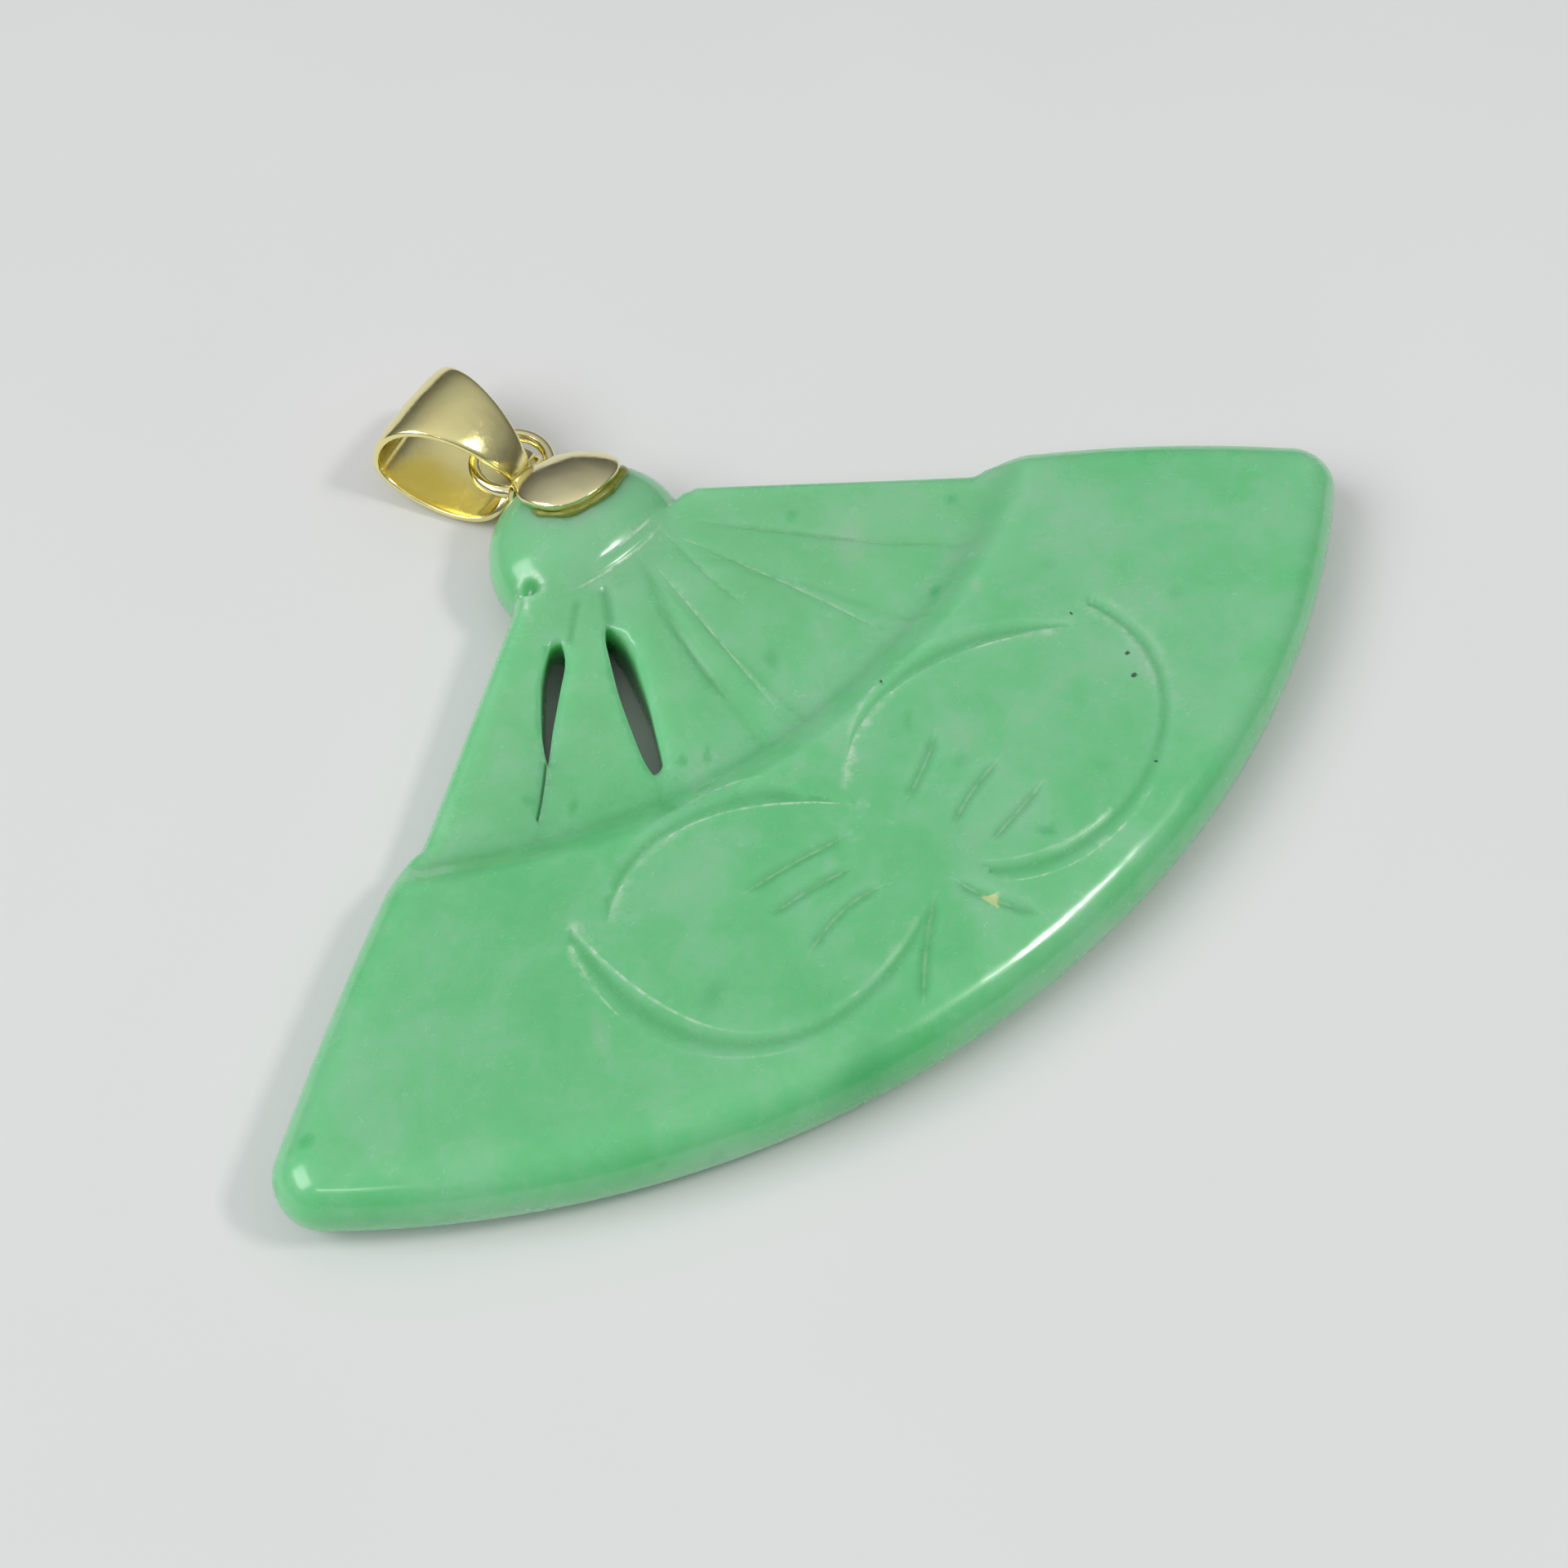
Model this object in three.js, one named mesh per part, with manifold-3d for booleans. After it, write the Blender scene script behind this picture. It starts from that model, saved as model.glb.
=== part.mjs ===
// A jadeite pendant in the shape of an open folding fan, with its gold cap, ring and bail.
// It lies on its flat back with the carved face up.
// Lengths are millimetres. The drawing's origin is the centre of the fan's outer arc,
// on the plane of the flat back: X to the right, Y towards the bail, Z out of the carved face.
import * as THREE from "three";
import { mergeVertices } from "three/addons/utils/BufferGeometryUtils.js";
import Module from "manifold-3d";

const wasm = await Module();
wasm.setup();

// Fan leaf: the broad raised panel between the two arcs
const FAN_RADIUS = 30.4;
const LEAF_THICKNESS = 2.7;
const LEAF_RIM = 1.3;
const RIGHT_SIDE = {
  angle: THREE.MathUtils.degToRad(53.14),
  offset: -5.66,
  bulge: 0.21,
  tipRadius: 1.42,
  shoulder: new THREE.Vector2(11.97, -15.68),
};
const LEFT_SIDE = {
  angle: THREE.MathUtils.degToRad(53.83),
  offset: -5.49,
  bulge: 0.08,
  tipRadius: 1.4,
  shoulder: new THREE.Vector2(11.82, -15.74),
};
const SHOULDER_ROUND = 1.25;
const INNER_ARC = { halfChord: 10.6, chordY: -15.95, lowest: -18.95 };

// The most of a panel's thickness that the rounding of one rim may take
const MOST_RIM_SHARE = 0.485;

// Sticks: the thinner fan-shaped panel under the head
const STICK_TOP = { y: -18.9, height: 1.8, slope: 0.1 };
const STICK_BACK = 0.25;
const STICK_RIM = 0.6;
const STICKS_UNDER_HEAD = 0.2;
const STICKS_UNDER_LEAF = { sides: 0.8, quarters: 1.2, middle: 2.2 };
const GUARD_ANGLE = THREE.MathUtils.degToRad(55.14);
const GUARD_OFFSET = { right: -6.68, left: -6.65 };
const STICK_PIVOT = new THREE.Vector2(0, -9.6);

// Head: the domed knob at the rivet end of the fan
const HEAD_CENTRE = new THREE.Vector2(-0.26, -10.36);
const HEAD_RADIUS = 3.36;
const HEAD_BACK = 0.4;
const HEAD_MIDDLE = 1.4;
const HEAD_TOP = 3.2;
const HEAD_FULLNESS = 2.6;
const FOOT = { x: -0.7, lowest: -11.95, radius: 7 };
const FOOT_LINES = { rises: [0.2, 0.75], spread: 0.26 };
const DIMPLE = { x: -3, y: -10.66, radius: 0.37, depth: 0.35 };

// Carving tools
const LINE_WIDTH = 0.44;
const LINE_DEPTH = 0.26;
const FINE_WIDTH = 0.34;
const FINE_DEPTH = 0.2;
const TOOL_LIFT = 0.4;
const STROKE_FADE = { share: 0.14, least: 0.3 };
const CUT_THROUGH = 1;

// Gold findings
const SEAT_GAP = 0.08;
const CAP_THICKNESS = 0.3;
const CAP = { x: 0.25, y: -7.65, halfWidth: 1.75, halfLength: 2.2, squareness: 2.5, turn: 0.12 };
const CAP_RING = { x: 0.12, y: -5.46, z: 1.38, radius: 1.2, wire: 0.21 };
const BAIL = {
  length: 4.25,
  front: { depth: 1.99, taper: 1.4, pinch: 0.48 },
  back: { depth: 1.06, taper: 0.3, pinch: -0.25 },
  tipWidth: 0.84,
  width: 3.96,
  widestAt: 0.57,
  thickness: 0.28,
  crown: 0.12,
  leastPinch: 0.02,
};
const BAIL_TIP = new THREE.Vector3(0.04, -6, 1.35);
const BAIL_YAW = 0.37;
const BAIL_PITCH = 0.05;

const JADE = new THREE.MeshStandardMaterial({ color: 0x7cc48c, roughness: 0.28, metalness: 0 });
const GOLD = new THREE.MeshStandardMaterial({ color: 0xd9b54a, roughness: 0.18, metalness: 1 });

// Solids from closed geometries, and back
function solidOf(geometry) {
  const bare = geometry.clone();
  bare.deleteAttribute("normal");
  bare.deleteAttribute("uv");
  const merged = mergeVertices(bare);
  const mesh = new wasm.Mesh({
    numProp: 3,
    vertProperties: merged.attributes.position.array,
    triVerts: new Uint32Array(merged.index.array),
  });
  return new wasm.Manifold(mesh);
}

function geometryOf(solid) {
  const mesh = solid.getMesh();
  const geometry = new THREE.BufferGeometry();
  geometry.setAttribute("position", new THREE.BufferAttribute(mesh.vertProperties, 3));
  geometry.setIndex(new THREE.BufferAttribute(mesh.triVerts, 1));
  geometry.computeVertexNormals();
  return geometry;
}

// A skin over a row of equal cross-sections, either joined end to end or closed by flat ends
function loft(sections, isLoop) {
  const sides = sections[0].length;
  const spans = isLoop ? sections.length : sections.length - 1;
  const indices = [];
  for (let span = 0; span < spans; span += 1) {
    const here = span * sides;
    const next = ((span + 1) % sections.length) * sides;
    for (let side = 0; side < sides; side += 1) {
      const after = (side + 1) % sides;
      indices.push(here + side, here + after, next + side);
      indices.push(here + after, next + after, next + side);
    }
  }
  if (!isLoop) {
    const last = (sections.length - 1) * sides;
    for (let side = 1; side < sides - 1; side += 1) {
      indices.push(0, side + 1, side);
      indices.push(last, last + side, last + side + 1);
    }
  }
  const geometry = new THREE.BufferGeometry();
  geometry.setFromPoints(sections.flat());
  geometry.setIndex(indices);
  return geometry;
}

// A flat panel with rounded rims, from its outline, between two heights
function roundedPanel(outline, bottom, top, rim) {
  const rimHeight = Math.min(rim, MOST_RIM_SHARE * (top - bottom));
  const panel = new THREE.ExtrudeGeometry(new THREE.Shape(outline), {
    depth: top - bottom - 2 * rimHeight,
    bevelThickness: rimHeight,
    bevelSize: rim,
    bevelOffset: -rim,
    bevelSegments: 4,
    curveSegments: 1,
  });
  panel.translate(0, 0, bottom + rimHeight);
  return panel;
}

// Half of the leaf's outline, drawn on the right-hand side from the outer arc to the inner arc
function halfOfLeaf({ angle, offset, bulge, tipRadius, shoulder }) {
  const outward = new THREE.Vector2(Math.cos(angle), Math.sin(angle));
  const downward = new THREE.Vector2(outward.y, -outward.x);
  const centreOffset = offset - tipRadius;
  const reach = Math.sqrt((FAN_RADIUS - tipRadius) ** 2 - centreOffset ** 2);
  const centre = outward.clone().multiplyScalar(centreOffset).addScaledVector(downward, reach);
  const arcTurn = centre.angle() - 2 * Math.PI;
  const outer = new THREE.EllipseCurve(0, 0, FAN_RADIUS, FAN_RADIUS, -Math.PI / 2, arcTurn);
  const round = new THREE.EllipseCurve(centre.x, centre.y, tipRadius, tipRadius, arcTurn, angle);
  const sideStart = round.getPoint(1);
  const down = sideStart.clone().sub(shoulder).setLength(SHOULDER_ROUND);
  const sideEnd = shoulder.clone().add(down);
  const middle = sideStart.clone().add(sideEnd).multiplyScalar(0.5);
  const side = new THREE.QuadraticBezierCurve(
    sideStart, middle.addScaledVector(outward, 2 * bulge), sideEnd,
  );
  const arcStart = new THREE.Vector2(INNER_ARC.halfChord, INNER_ARC.chordY);
  const corner = new THREE.QuadraticBezierCurve(sideEnd, shoulder, arcStart);
  return [
    ...outer.getPoints(22).slice(0, -1),
    ...round.getPoints(6).slice(0, -1),
    ...side.getPoints(6).slice(0, -1),
    ...corner.getPoints(4).slice(0, -1),
  ];
}

// The inner arc's points from right to left
function innerArc() {
  const sag = INNER_ARC.chordY - INNER_ARC.lowest;
  const radius = (INNER_ARC.halfChord ** 2 + sag ** 2) / (2 * sag);
  const half = Math.asin(INNER_ARC.halfChord / radius);
  const centreY = INNER_ARC.lowest + radius;
  const arc = new THREE.EllipseCurve(
    0, centreY, radius, radius, half - Math.PI / 2, -half - Math.PI / 2, true,
  );
  return arc.getPoints(18);
}

function leafOutline() {
  const right = halfOfLeaf(RIGHT_SIDE);
  const left = halfOfLeaf(LEFT_SIDE).slice(1);
  left.forEach((point) => point.setX(-point.x));
  left.reverse();
  return [...right, ...innerArc(), ...left];
}

// The sticks' outline runs from inside the head to well under the leaf
function stickOutline() {
  const guardX = (offset, y) => (offset - y * Math.sin(GUARD_ANGLE)) / Math.cos(GUARD_ANGLE);
  const rightX = (y) => guardX(GUARD_OFFSET.right, y);
  const leftX = (y) => -guardX(GUARD_OFFSET.left, y);
  const neckY = HEAD_CENTRE.y - STICKS_UNDER_HEAD;
  const sideY = INNER_ARC.chordY - STICKS_UNDER_LEAF.sides;
  const quarterY = INNER_ARC.lowest - STICKS_UNDER_LEAF.quarters;
  const middleY = INNER_ARC.lowest - STICKS_UNDER_LEAF.middle;
  return [
    new THREE.Vector2(rightX(sideY), sideY),
    new THREE.Vector2(rightX(neckY), neckY),
    new THREE.Vector2(leftX(neckY), neckY),
    new THREE.Vector2(leftX(sideY), sideY),
    new THREE.Vector2(leftX(sideY) / 2, quarterY),
    new THREE.Vector2(0, middleY),
    new THREE.Vector2(rightX(sideY) / 2, quarterY),
  ];
}

// The sticks grow thicker towards the head
function stickHeight(point) {
  return STICK_TOP.height + STICK_TOP.slope * (point.y - STICK_TOP.y);
}

// The sticks' panel, whose upper face is raised to its slope
function stickPanel() {
  const panel = roundedPanel(stickOutline(), STICK_BACK, STICK_TOP.height, STICK_RIM);
  const positions = panel.attributes.position;
  const middle = (STICK_BACK + STICK_TOP.height) / 2;
  const point = new THREE.Vector3();
  for (let index = 0; index < positions.count; index += 1) {
    point.fromBufferAttribute(positions, index);
    if (point.z > middle) {
      positions.setZ(index, point.z + stickHeight(point) - STICK_TOP.height);
    }
  }
  return panel;
}

// Height of the head's rounded skin, a distance away from its axis
function headHeight(distance, growth, towardsFace) {
  const share = Math.min(distance / (HEAD_RADIUS + growth), 1);
  const rise = (1 - share ** HEAD_FULLNESS) ** (1 / HEAD_FULLNESS);
  return towardsFace
    ? HEAD_MIDDLE + rise * (HEAD_TOP + growth - HEAD_MIDDLE)
    : HEAD_MIDDLE - rise * (HEAD_MIDDLE - HEAD_BACK + growth);
}

// The pebble that the head is part of, swollen by a growth on all sides
function headPebble(growth) {
  const profile = [];
  const steps = 7;
  for (let step = 0; step <= steps; step += 1) {
    const distance = (HEAD_RADIUS + growth) * Math.sin((step / steps) * (Math.PI / 2));
    profile.push(new THREE.Vector2(distance, headHeight(distance, growth, false)));
  }
  for (let step = steps - 1; step >= 0; step -= 1) {
    const distance = (HEAD_RADIUS + growth) * Math.sin((step / steps) * (Math.PI / 2));
    profile.push(new THREE.Vector2(distance, headHeight(distance, growth, true)));
  }
  const pebble = new THREE.LatheGeometry(profile, 36);
  pebble.rotateX(Math.PI / 2);
  pebble.translate(HEAD_CENTRE.x, HEAD_CENTRE.y, 0);
  return pebble;
}

// The block that trims the head's face off below its curved foot
function footTrim() {
  const outline = new THREE.Shape();
  outline.absarc(FOOT.x, FOOT.lowest + FOOT.radius, FOOT.radius, Math.PI, 2 * Math.PI);
  outline.lineTo(FOOT.x + FOOT.radius, FOOT.lowest - FOOT.radius);
  outline.lineTo(FOOT.x - FOOT.radius, FOOT.lowest - FOOT.radius);
  const trim = new THREE.ExtrudeGeometry(outline, {
    depth: HEAD_TOP,
    bevelEnabled: false,
    curveSegments: 16,
  });
  trim.translate(0, 0, stickHeight(new THREE.Vector2(FOOT.x, FOOT.lowest)));
  return trim;
}

// A graver's stroke: a V-shaped tool path that fades out at both ends
function stroke(path, width, depth, heightAt) {
  const sections = path.map((point, index) => {
    const before = path[Math.max(index - 1, 0)];
    const after = path[Math.min(index + 1, path.length - 1)];
    const across = after.clone().sub(before).normalize();
    across.set(-across.y, across.x);
    const share = index / (path.length - 1);
    const toEnd = Math.min(share, 1 - share) / STROKE_FADE.share;
    const fade = THREE.MathUtils.clamp(toEnd, STROKE_FADE.least, 1);
    const surface = heightAt(point);
    const bottom = surface - depth * fade;
    const half = (width / 2) * fade * (1 + TOOL_LIFT / (depth * fade));
    const left = point.clone().addScaledVector(across, half);
    const right = point.clone().addScaledVector(across, -half);
    return [
      new THREE.Vector3(left.x, left.y, surface + TOOL_LIFT),
      new THREE.Vector3(right.x, right.y, surface + TOOL_LIFT),
      new THREE.Vector3(point.x, point.y, bottom),
    ];
  });
  return loft(sections, false);
}

const onLeaf = () => LEAF_THICKNESS;
const onSticks = stickHeight;
const onHead = (point) => headHeight(point.distanceTo(HEAD_CENTRE), 0, true);

// A sweep of the graver through four control points
function sweep(controls, steps) {
  const [start, leave, arrive, end] = controls.map(([x, y]) => new THREE.Vector2(x, y));
  return new THREE.CubicBezierCurve(start, leave, arrive, end).getPoints(steps);
}

// The winged motif on the leaf: double outlines of two round wings, veins and two tails
const WING_LINES = [
  [[-9.8, -21.5], [-11.8, -27.3], [-5.2, -30.2], [-1.1, -26.9]],
  [[-9.4, -21.0], [-9.6, -26.2], [-7.5, -29.1], [-1.6, -26.9]],
  [[-8.7, -21.7], [-5.8, -19.1], [-2.5, -21.1], [-0.5, -23.4]],
  [[-7.9, -20.7], [-7.2, -19.4], [-1.3, -19.4], [-1.6, -21.9]],
  [[0.0, -21.8], [2.4, -19.3], [6.3, -19.6], [8.4, -22.3]],
  [[-0.8, -22.7], [1.5, -19.7], [5.4, -20.8], [8.2, -22.4]],
  [[9.2, -22.1], [10.9, -26.9], [3.8, -29.6], [0.7, -26.8]],
  [[9.8, -22.3], [11.4, -27.1], [3.7, -30.4], [0.6, -27.6]],
];
const VEINS_AND_TAILS = [
  [[-1.6, -23.7], [-2.7, -23.5], [-3.8, -23.3], [-5.0, -23.3]],
  [[-2.2, -24.6], [-3.1, -24.4], [-4.0, -24.3], [-5.0, -24.3]],
  [[-2.0, -25.6], [-2.9, -25.3], [-3.9, -25.5], [-4.9, -25.9]],
  [[0.5, -23.9], [1.2, -23.6], [2.0, -23.2], [2.7, -22.7]],
  [[0.9, -25.4], [1.7, -25.0], [2.6, -24.7], [3.4, -24.6]],
  [[1.4, -26.5], [2.2, -26.3], [3.0, -26.2], [3.8, -26.0]],
  [[-1.1, -26.8], [-1.9, -27.4], [-2.8, -28.2], [-3.6, -29.1]],
  [[-0.3, -26.8], [-0.1, -27.6], [0.2, -28.3], [0.8, -29.1]],
];

function motifStrokes() {
  const wings = WING_LINES.map((line) => stroke(sweep(line, 14), LINE_WIDTH, LINE_DEPTH, onLeaf));
  const veins = VEINS_AND_TAILS.map((line) => stroke(sweep(line, 5), FINE_WIDTH, FINE_DEPTH, onLeaf));
  return [...wings, ...veins];
}

// Lines between the sticks, each from the head's foot towards the leaf
const STICK_LINES = [
  [[-2.2, -11.9], [-3.3, -13.0]],
  [[-1.3, -12.1], [-1.9, -13.1]],
  [[0.3, -12.1], [-0.8, -17.2]],
  [[0.5, -12.4], [0.2, -18.2]],
  [[1.5, -11.9], [1.7, -15.2]],
  [[1.9, -12.3], [4.3, -18.1]],
];

// Pierced slots: both ends and how far each side bows out, from the left side of the run
const SLOTS = [
  { from: [-3.3, -12.4], to: [-6.6, -16.0], bows: [0.62, -0.5], fullestAt: 0.35 },
  { from: [-1.95, -13.2], to: [-4.1, -18.2], bows: [0.82, -0.82], fullestAt: 0.62 },
];

function stickStrokes() {
  return STICK_LINES.map(([from, to]) => {
    const path = new THREE.LineCurve(new THREE.Vector2(...from), new THREE.Vector2(...to));
    return stroke(path.getPoints(6), LINE_WIDTH, LINE_DEPTH, onSticks);
  });
}

// A pierced slot: a leaf-shaped opening sawn right through the sticks
function slotTool({ from, to, bows, fullestAt }) {
  const start = new THREE.Vector2(...from);
  const end = new THREE.Vector2(...to);
  const along = end.clone().sub(start);
  const across = new THREE.Vector2(along.y, -along.x).normalize();
  const edges = bows.map((bow) => {
    const full = start.clone().addScaledVector(along, fullestAt).addScaledVector(across, bow);
    return new THREE.QuadraticBezierCurve(start, full, end).getPoints(12);
  });
  const outline = new THREE.Shape([...edges[0].slice(0, -1), ...edges[1].reverse().slice(0, -1)]);
  const tool = new THREE.ExtrudeGeometry(outline, {
    depth: HEAD_TOP + 2 * CUT_THROUGH,
    bevelEnabled: false,
  });
  tool.translate(0, 0, -CUT_THROUGH);
  return tool;
}

// The curved lines across the head's foot, and the small drilled dimple
function headStrokes() {
  return FOOT_LINES.rises.map((rise) => {
    const arc = new THREE.EllipseCurve(
      FOOT.x, FOOT.lowest + rise + FOOT.radius, FOOT.radius, FOOT.radius,
      -Math.PI / 2 - FOOT_LINES.spread, -Math.PI / 2 + FOOT_LINES.spread,
    );
    return stroke(arc.getPoints(10), LINE_WIDTH, LINE_DEPTH, onHead);
  });
}

function dimpleTool() {
  const surface = onHead(new THREE.Vector2(DIMPLE.x, DIMPLE.y));
  const tool = new THREE.ConeGeometry(2 * DIMPLE.radius, 2 * DIMPLE.depth, 10);
  tool.rotateX(-Math.PI / 2);
  tool.translate(DIMPLE.x, DIMPLE.y, surface);
  return tool;
}

function jadeFan() {
  const leaf = solidOf(roundedPanel(leafOutline(), 0, LEAF_THICKNESS, LEAF_RIM));
  const sticks = solidOf(stickPanel());
  const head = solidOf(headPebble(0)).subtract(solidOf(footTrim()));
  const tools = [
    ...motifStrokes(),
    ...stickStrokes(),
    ...SLOTS.map(slotTool),
    ...headStrokes(),
    dimpleTool(),
  ];
  const whole = leaf.add(sticks).add(head);
  return geometryOf(tools.reduce((body, tool) => body.subtract(solidOf(tool)), whole));
}

// The cap: an oval of sheet gold pressed over the head's top edge, with a ring soldered on
function goldCap() {
  const outline = [];
  const points = 28;
  for (let index = 0; index < points; index += 1) {
    const angle = (index / points) * 2 * Math.PI;
    const power = 2 / CAP.squareness;
    const x = Math.sign(Math.cos(angle)) * CAP.halfWidth * Math.abs(Math.cos(angle)) ** power;
    const y = Math.sign(Math.sin(angle)) * CAP.halfLength * Math.abs(Math.sin(angle)) ** power;
    outline.push(new THREE.Vector2(x, y));
  }
  const cutter = new THREE.ExtrudeGeometry(new THREE.Shape(outline), {
    depth: HEAD_TOP + 2 * CUT_THROUGH,
    bevelEnabled: false,
  });
  cutter.rotateZ(CAP.turn);
  cutter.translate(CAP.x, CAP.y, -CUT_THROUGH);
  const outside = solidOf(headPebble(SEAT_GAP + CAP_THICKNESS));
  const inside = solidOf(headPebble(SEAT_GAP));
  const ring = new THREE.TorusGeometry(CAP_RING.radius, CAP_RING.wire, 8, 24);
  ring.translate(CAP_RING.x, CAP_RING.y, CAP_RING.z);
  return geometryOf(outside.intersect(solidOf(cutter)).add(solidOf(ring)).subtract(inside));
}

// The bail: a strip of sheet gold, wide over the top and narrow at the ends,
// folded round into a teardrop; u runs from the tip up the front and down the back
function bailSection(u) {
  const turn = 2 * Math.PI * u;
  const { depth, pinch } = u < 0.5 ? BAIL.front : BAIL.back;
  const squeeze = Math.max(Math.abs(Math.sin(turn / 2)), BAIL.leastPinch) ** pinch;
  const isWidening = u < BAIL.widestAt;
  const share = isWidening ? u / BAIL.widestAt : (1 - u) / (1 - BAIL.widestAt);
  const { taper } = isWidening ? BAIL.front : BAIL.back;
  const fullness = Math.sin((Math.PI / 2) * share) ** taper;
  return {
    middle: new THREE.Vector2((BAIL.length / 2) * (1 - Math.cos(turn)), depth * Math.sin(turn) * squeeze),
    halfWidth: (BAIL.tipWidth + (BAIL.width - BAIL.tipWidth) * fullness) / 2,
  };
}

function bail() {
  const count = 44;
  const stations = [];
  for (let index = 0; index < count; index += 1) {
    stations.push(bailSection(index / count));
  }
  const sections = stations.map(({ middle, halfWidth }, index) => {
    const before = stations[(index + count - 1) % count].middle;
    const after = stations[(index + 1) % count].middle;
    const outward = after.clone().sub(before).normalize();
    outward.set(-outward.y, outward.x);
    const corner = (across, out) => {
      const crown = BAIL.crown * (1 - across ** 2) * (halfWidth / (BAIL.width / 2));
      const place = middle.clone().addScaledVector(outward, out + crown);
      return new THREE.Vector3(across * halfWidth, place.x, place.y);
    };
    const half = BAIL.thickness / 2;
    return [
      corner(-1, half), corner(0, half), corner(1, half),
      corner(1, -half), corner(0, -half), corner(-1, -half),
    ];
  });
  return loft(sections, true);
}

function named(name, geometry, material) {
  const mesh = new THREE.Mesh(geometry, material);
  mesh.name = name;
  return mesh;
}

const drawing = new THREE.Group();
drawing.add(named("jade_fan", jadeFan(), JADE));
drawing.add(named("gold_cap", goldCap(), GOLD));
const bailMesh = named("bail", bail(), GOLD.clone());
bailMesh.position.copy(BAIL_TIP);
bailMesh.rotation.set(BAIL_PITCH, 0, BAIL_YAW, "ZYX");
drawing.add(bailMesh);

// The part's frame: origin under the middle of the whole pendant, on the plane it lies on
const pendant = new THREE.Group();
const extent = new THREE.Box3().setFromObject(drawing, true);
const middle = extent.getCenter(new THREE.Vector3());
drawing.position.set(-middle.x, -middle.y, -extent.min.z);
pendant.add(drawing);

export default pendant;
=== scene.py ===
# A carved jadeite fan pendant with its gold cap, ring and bail, lying on its back.
# Shapes are drawn in millimetres, from the centre of the fan's outer arc on the plane of its flat back,
# and made in metres in the part's own frame.
import math

import bmesh
import bpy
import numpy as np
from mathutils import Matrix, Vector
from mathutils.geometry import delaunay_2d_cdt


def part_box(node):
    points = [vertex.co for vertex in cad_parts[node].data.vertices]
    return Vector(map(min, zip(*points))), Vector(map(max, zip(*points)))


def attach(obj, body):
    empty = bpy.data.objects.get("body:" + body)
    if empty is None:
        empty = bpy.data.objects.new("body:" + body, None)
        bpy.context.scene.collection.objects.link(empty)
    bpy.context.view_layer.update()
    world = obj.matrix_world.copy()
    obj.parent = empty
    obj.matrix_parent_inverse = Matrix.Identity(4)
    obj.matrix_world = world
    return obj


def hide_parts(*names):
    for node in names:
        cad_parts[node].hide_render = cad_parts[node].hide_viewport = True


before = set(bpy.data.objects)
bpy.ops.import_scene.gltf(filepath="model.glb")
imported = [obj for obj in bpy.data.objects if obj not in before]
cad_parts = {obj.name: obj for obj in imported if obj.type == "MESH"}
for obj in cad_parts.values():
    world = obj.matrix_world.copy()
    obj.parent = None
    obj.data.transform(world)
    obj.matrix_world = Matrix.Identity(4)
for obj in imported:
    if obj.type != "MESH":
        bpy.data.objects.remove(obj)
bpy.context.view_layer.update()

MM = 0.001

# Fan leaf
FAN_RADIUS = 30.4
LEAF_TOP = 2.7
LEAF_MIDDLE = 1.35
LEAF_RIM = 1.3
RIGHT_SIDE = dict(angle=math.radians(53.14), offset=-5.66, bulge=0.21, tip=1.42, shoulder=(11.97, -15.68))
LEFT_SIDE = dict(angle=math.radians(53.83), offset=-5.49, bulge=0.08, tip=1.4, shoulder=(11.82, -15.74))
SHOULDER_ROUND = 1.25
INNER_ARC = dict(half_chord=10.6, chord_y=-15.95, lowest=-18.95)

# Sticks and head
STICK_BACK = 0.25
STICK_RIM = 0.6
STICK_LOW = (-18.9, 1.8)
STICK_SLOPE = 0.1
GUARD_ANGLE = math.radians(55.14)
GUARD_OFFSET = (-6.68, -6.65)
STICK_PIVOT = (0, -9.6)
STICK_EDGES = (-58, -45.5, -26.5, -6.5, 2.5, 30, 46, 58)
HEAD = (-0.26, -10.36)
HEAD_RADIUS = 3.36
HEAD_BACK = 0.4
HEAD_MIDDLE = 1.4
HEAD_TOP = 3.2
HEAD_FULLNESS = 2.6
FOOT = dict(x=-0.7, lowest=-11.95, radius=7.0)
FOOT_SLOPE = 0.5
ARC_SLOPE = 1.8
ARC_STEP = 0.12
DIMPLE = (-3.0, -10.66)
DIMPLE_RADIUS = 0.37
# The crest below the dimple carries only a painted highlight line; it is not cut.
DIMPLE_RIDGE_HIGHLIGHT = ((-3.34, -10.95), (-3.55, -11.2), (-3.75, -11.5))
GOUGE_DEEPEST = 0.62
GOUGE_STEEPNESS = 0.10
GOUGE_DEPTH = 0.075
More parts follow.
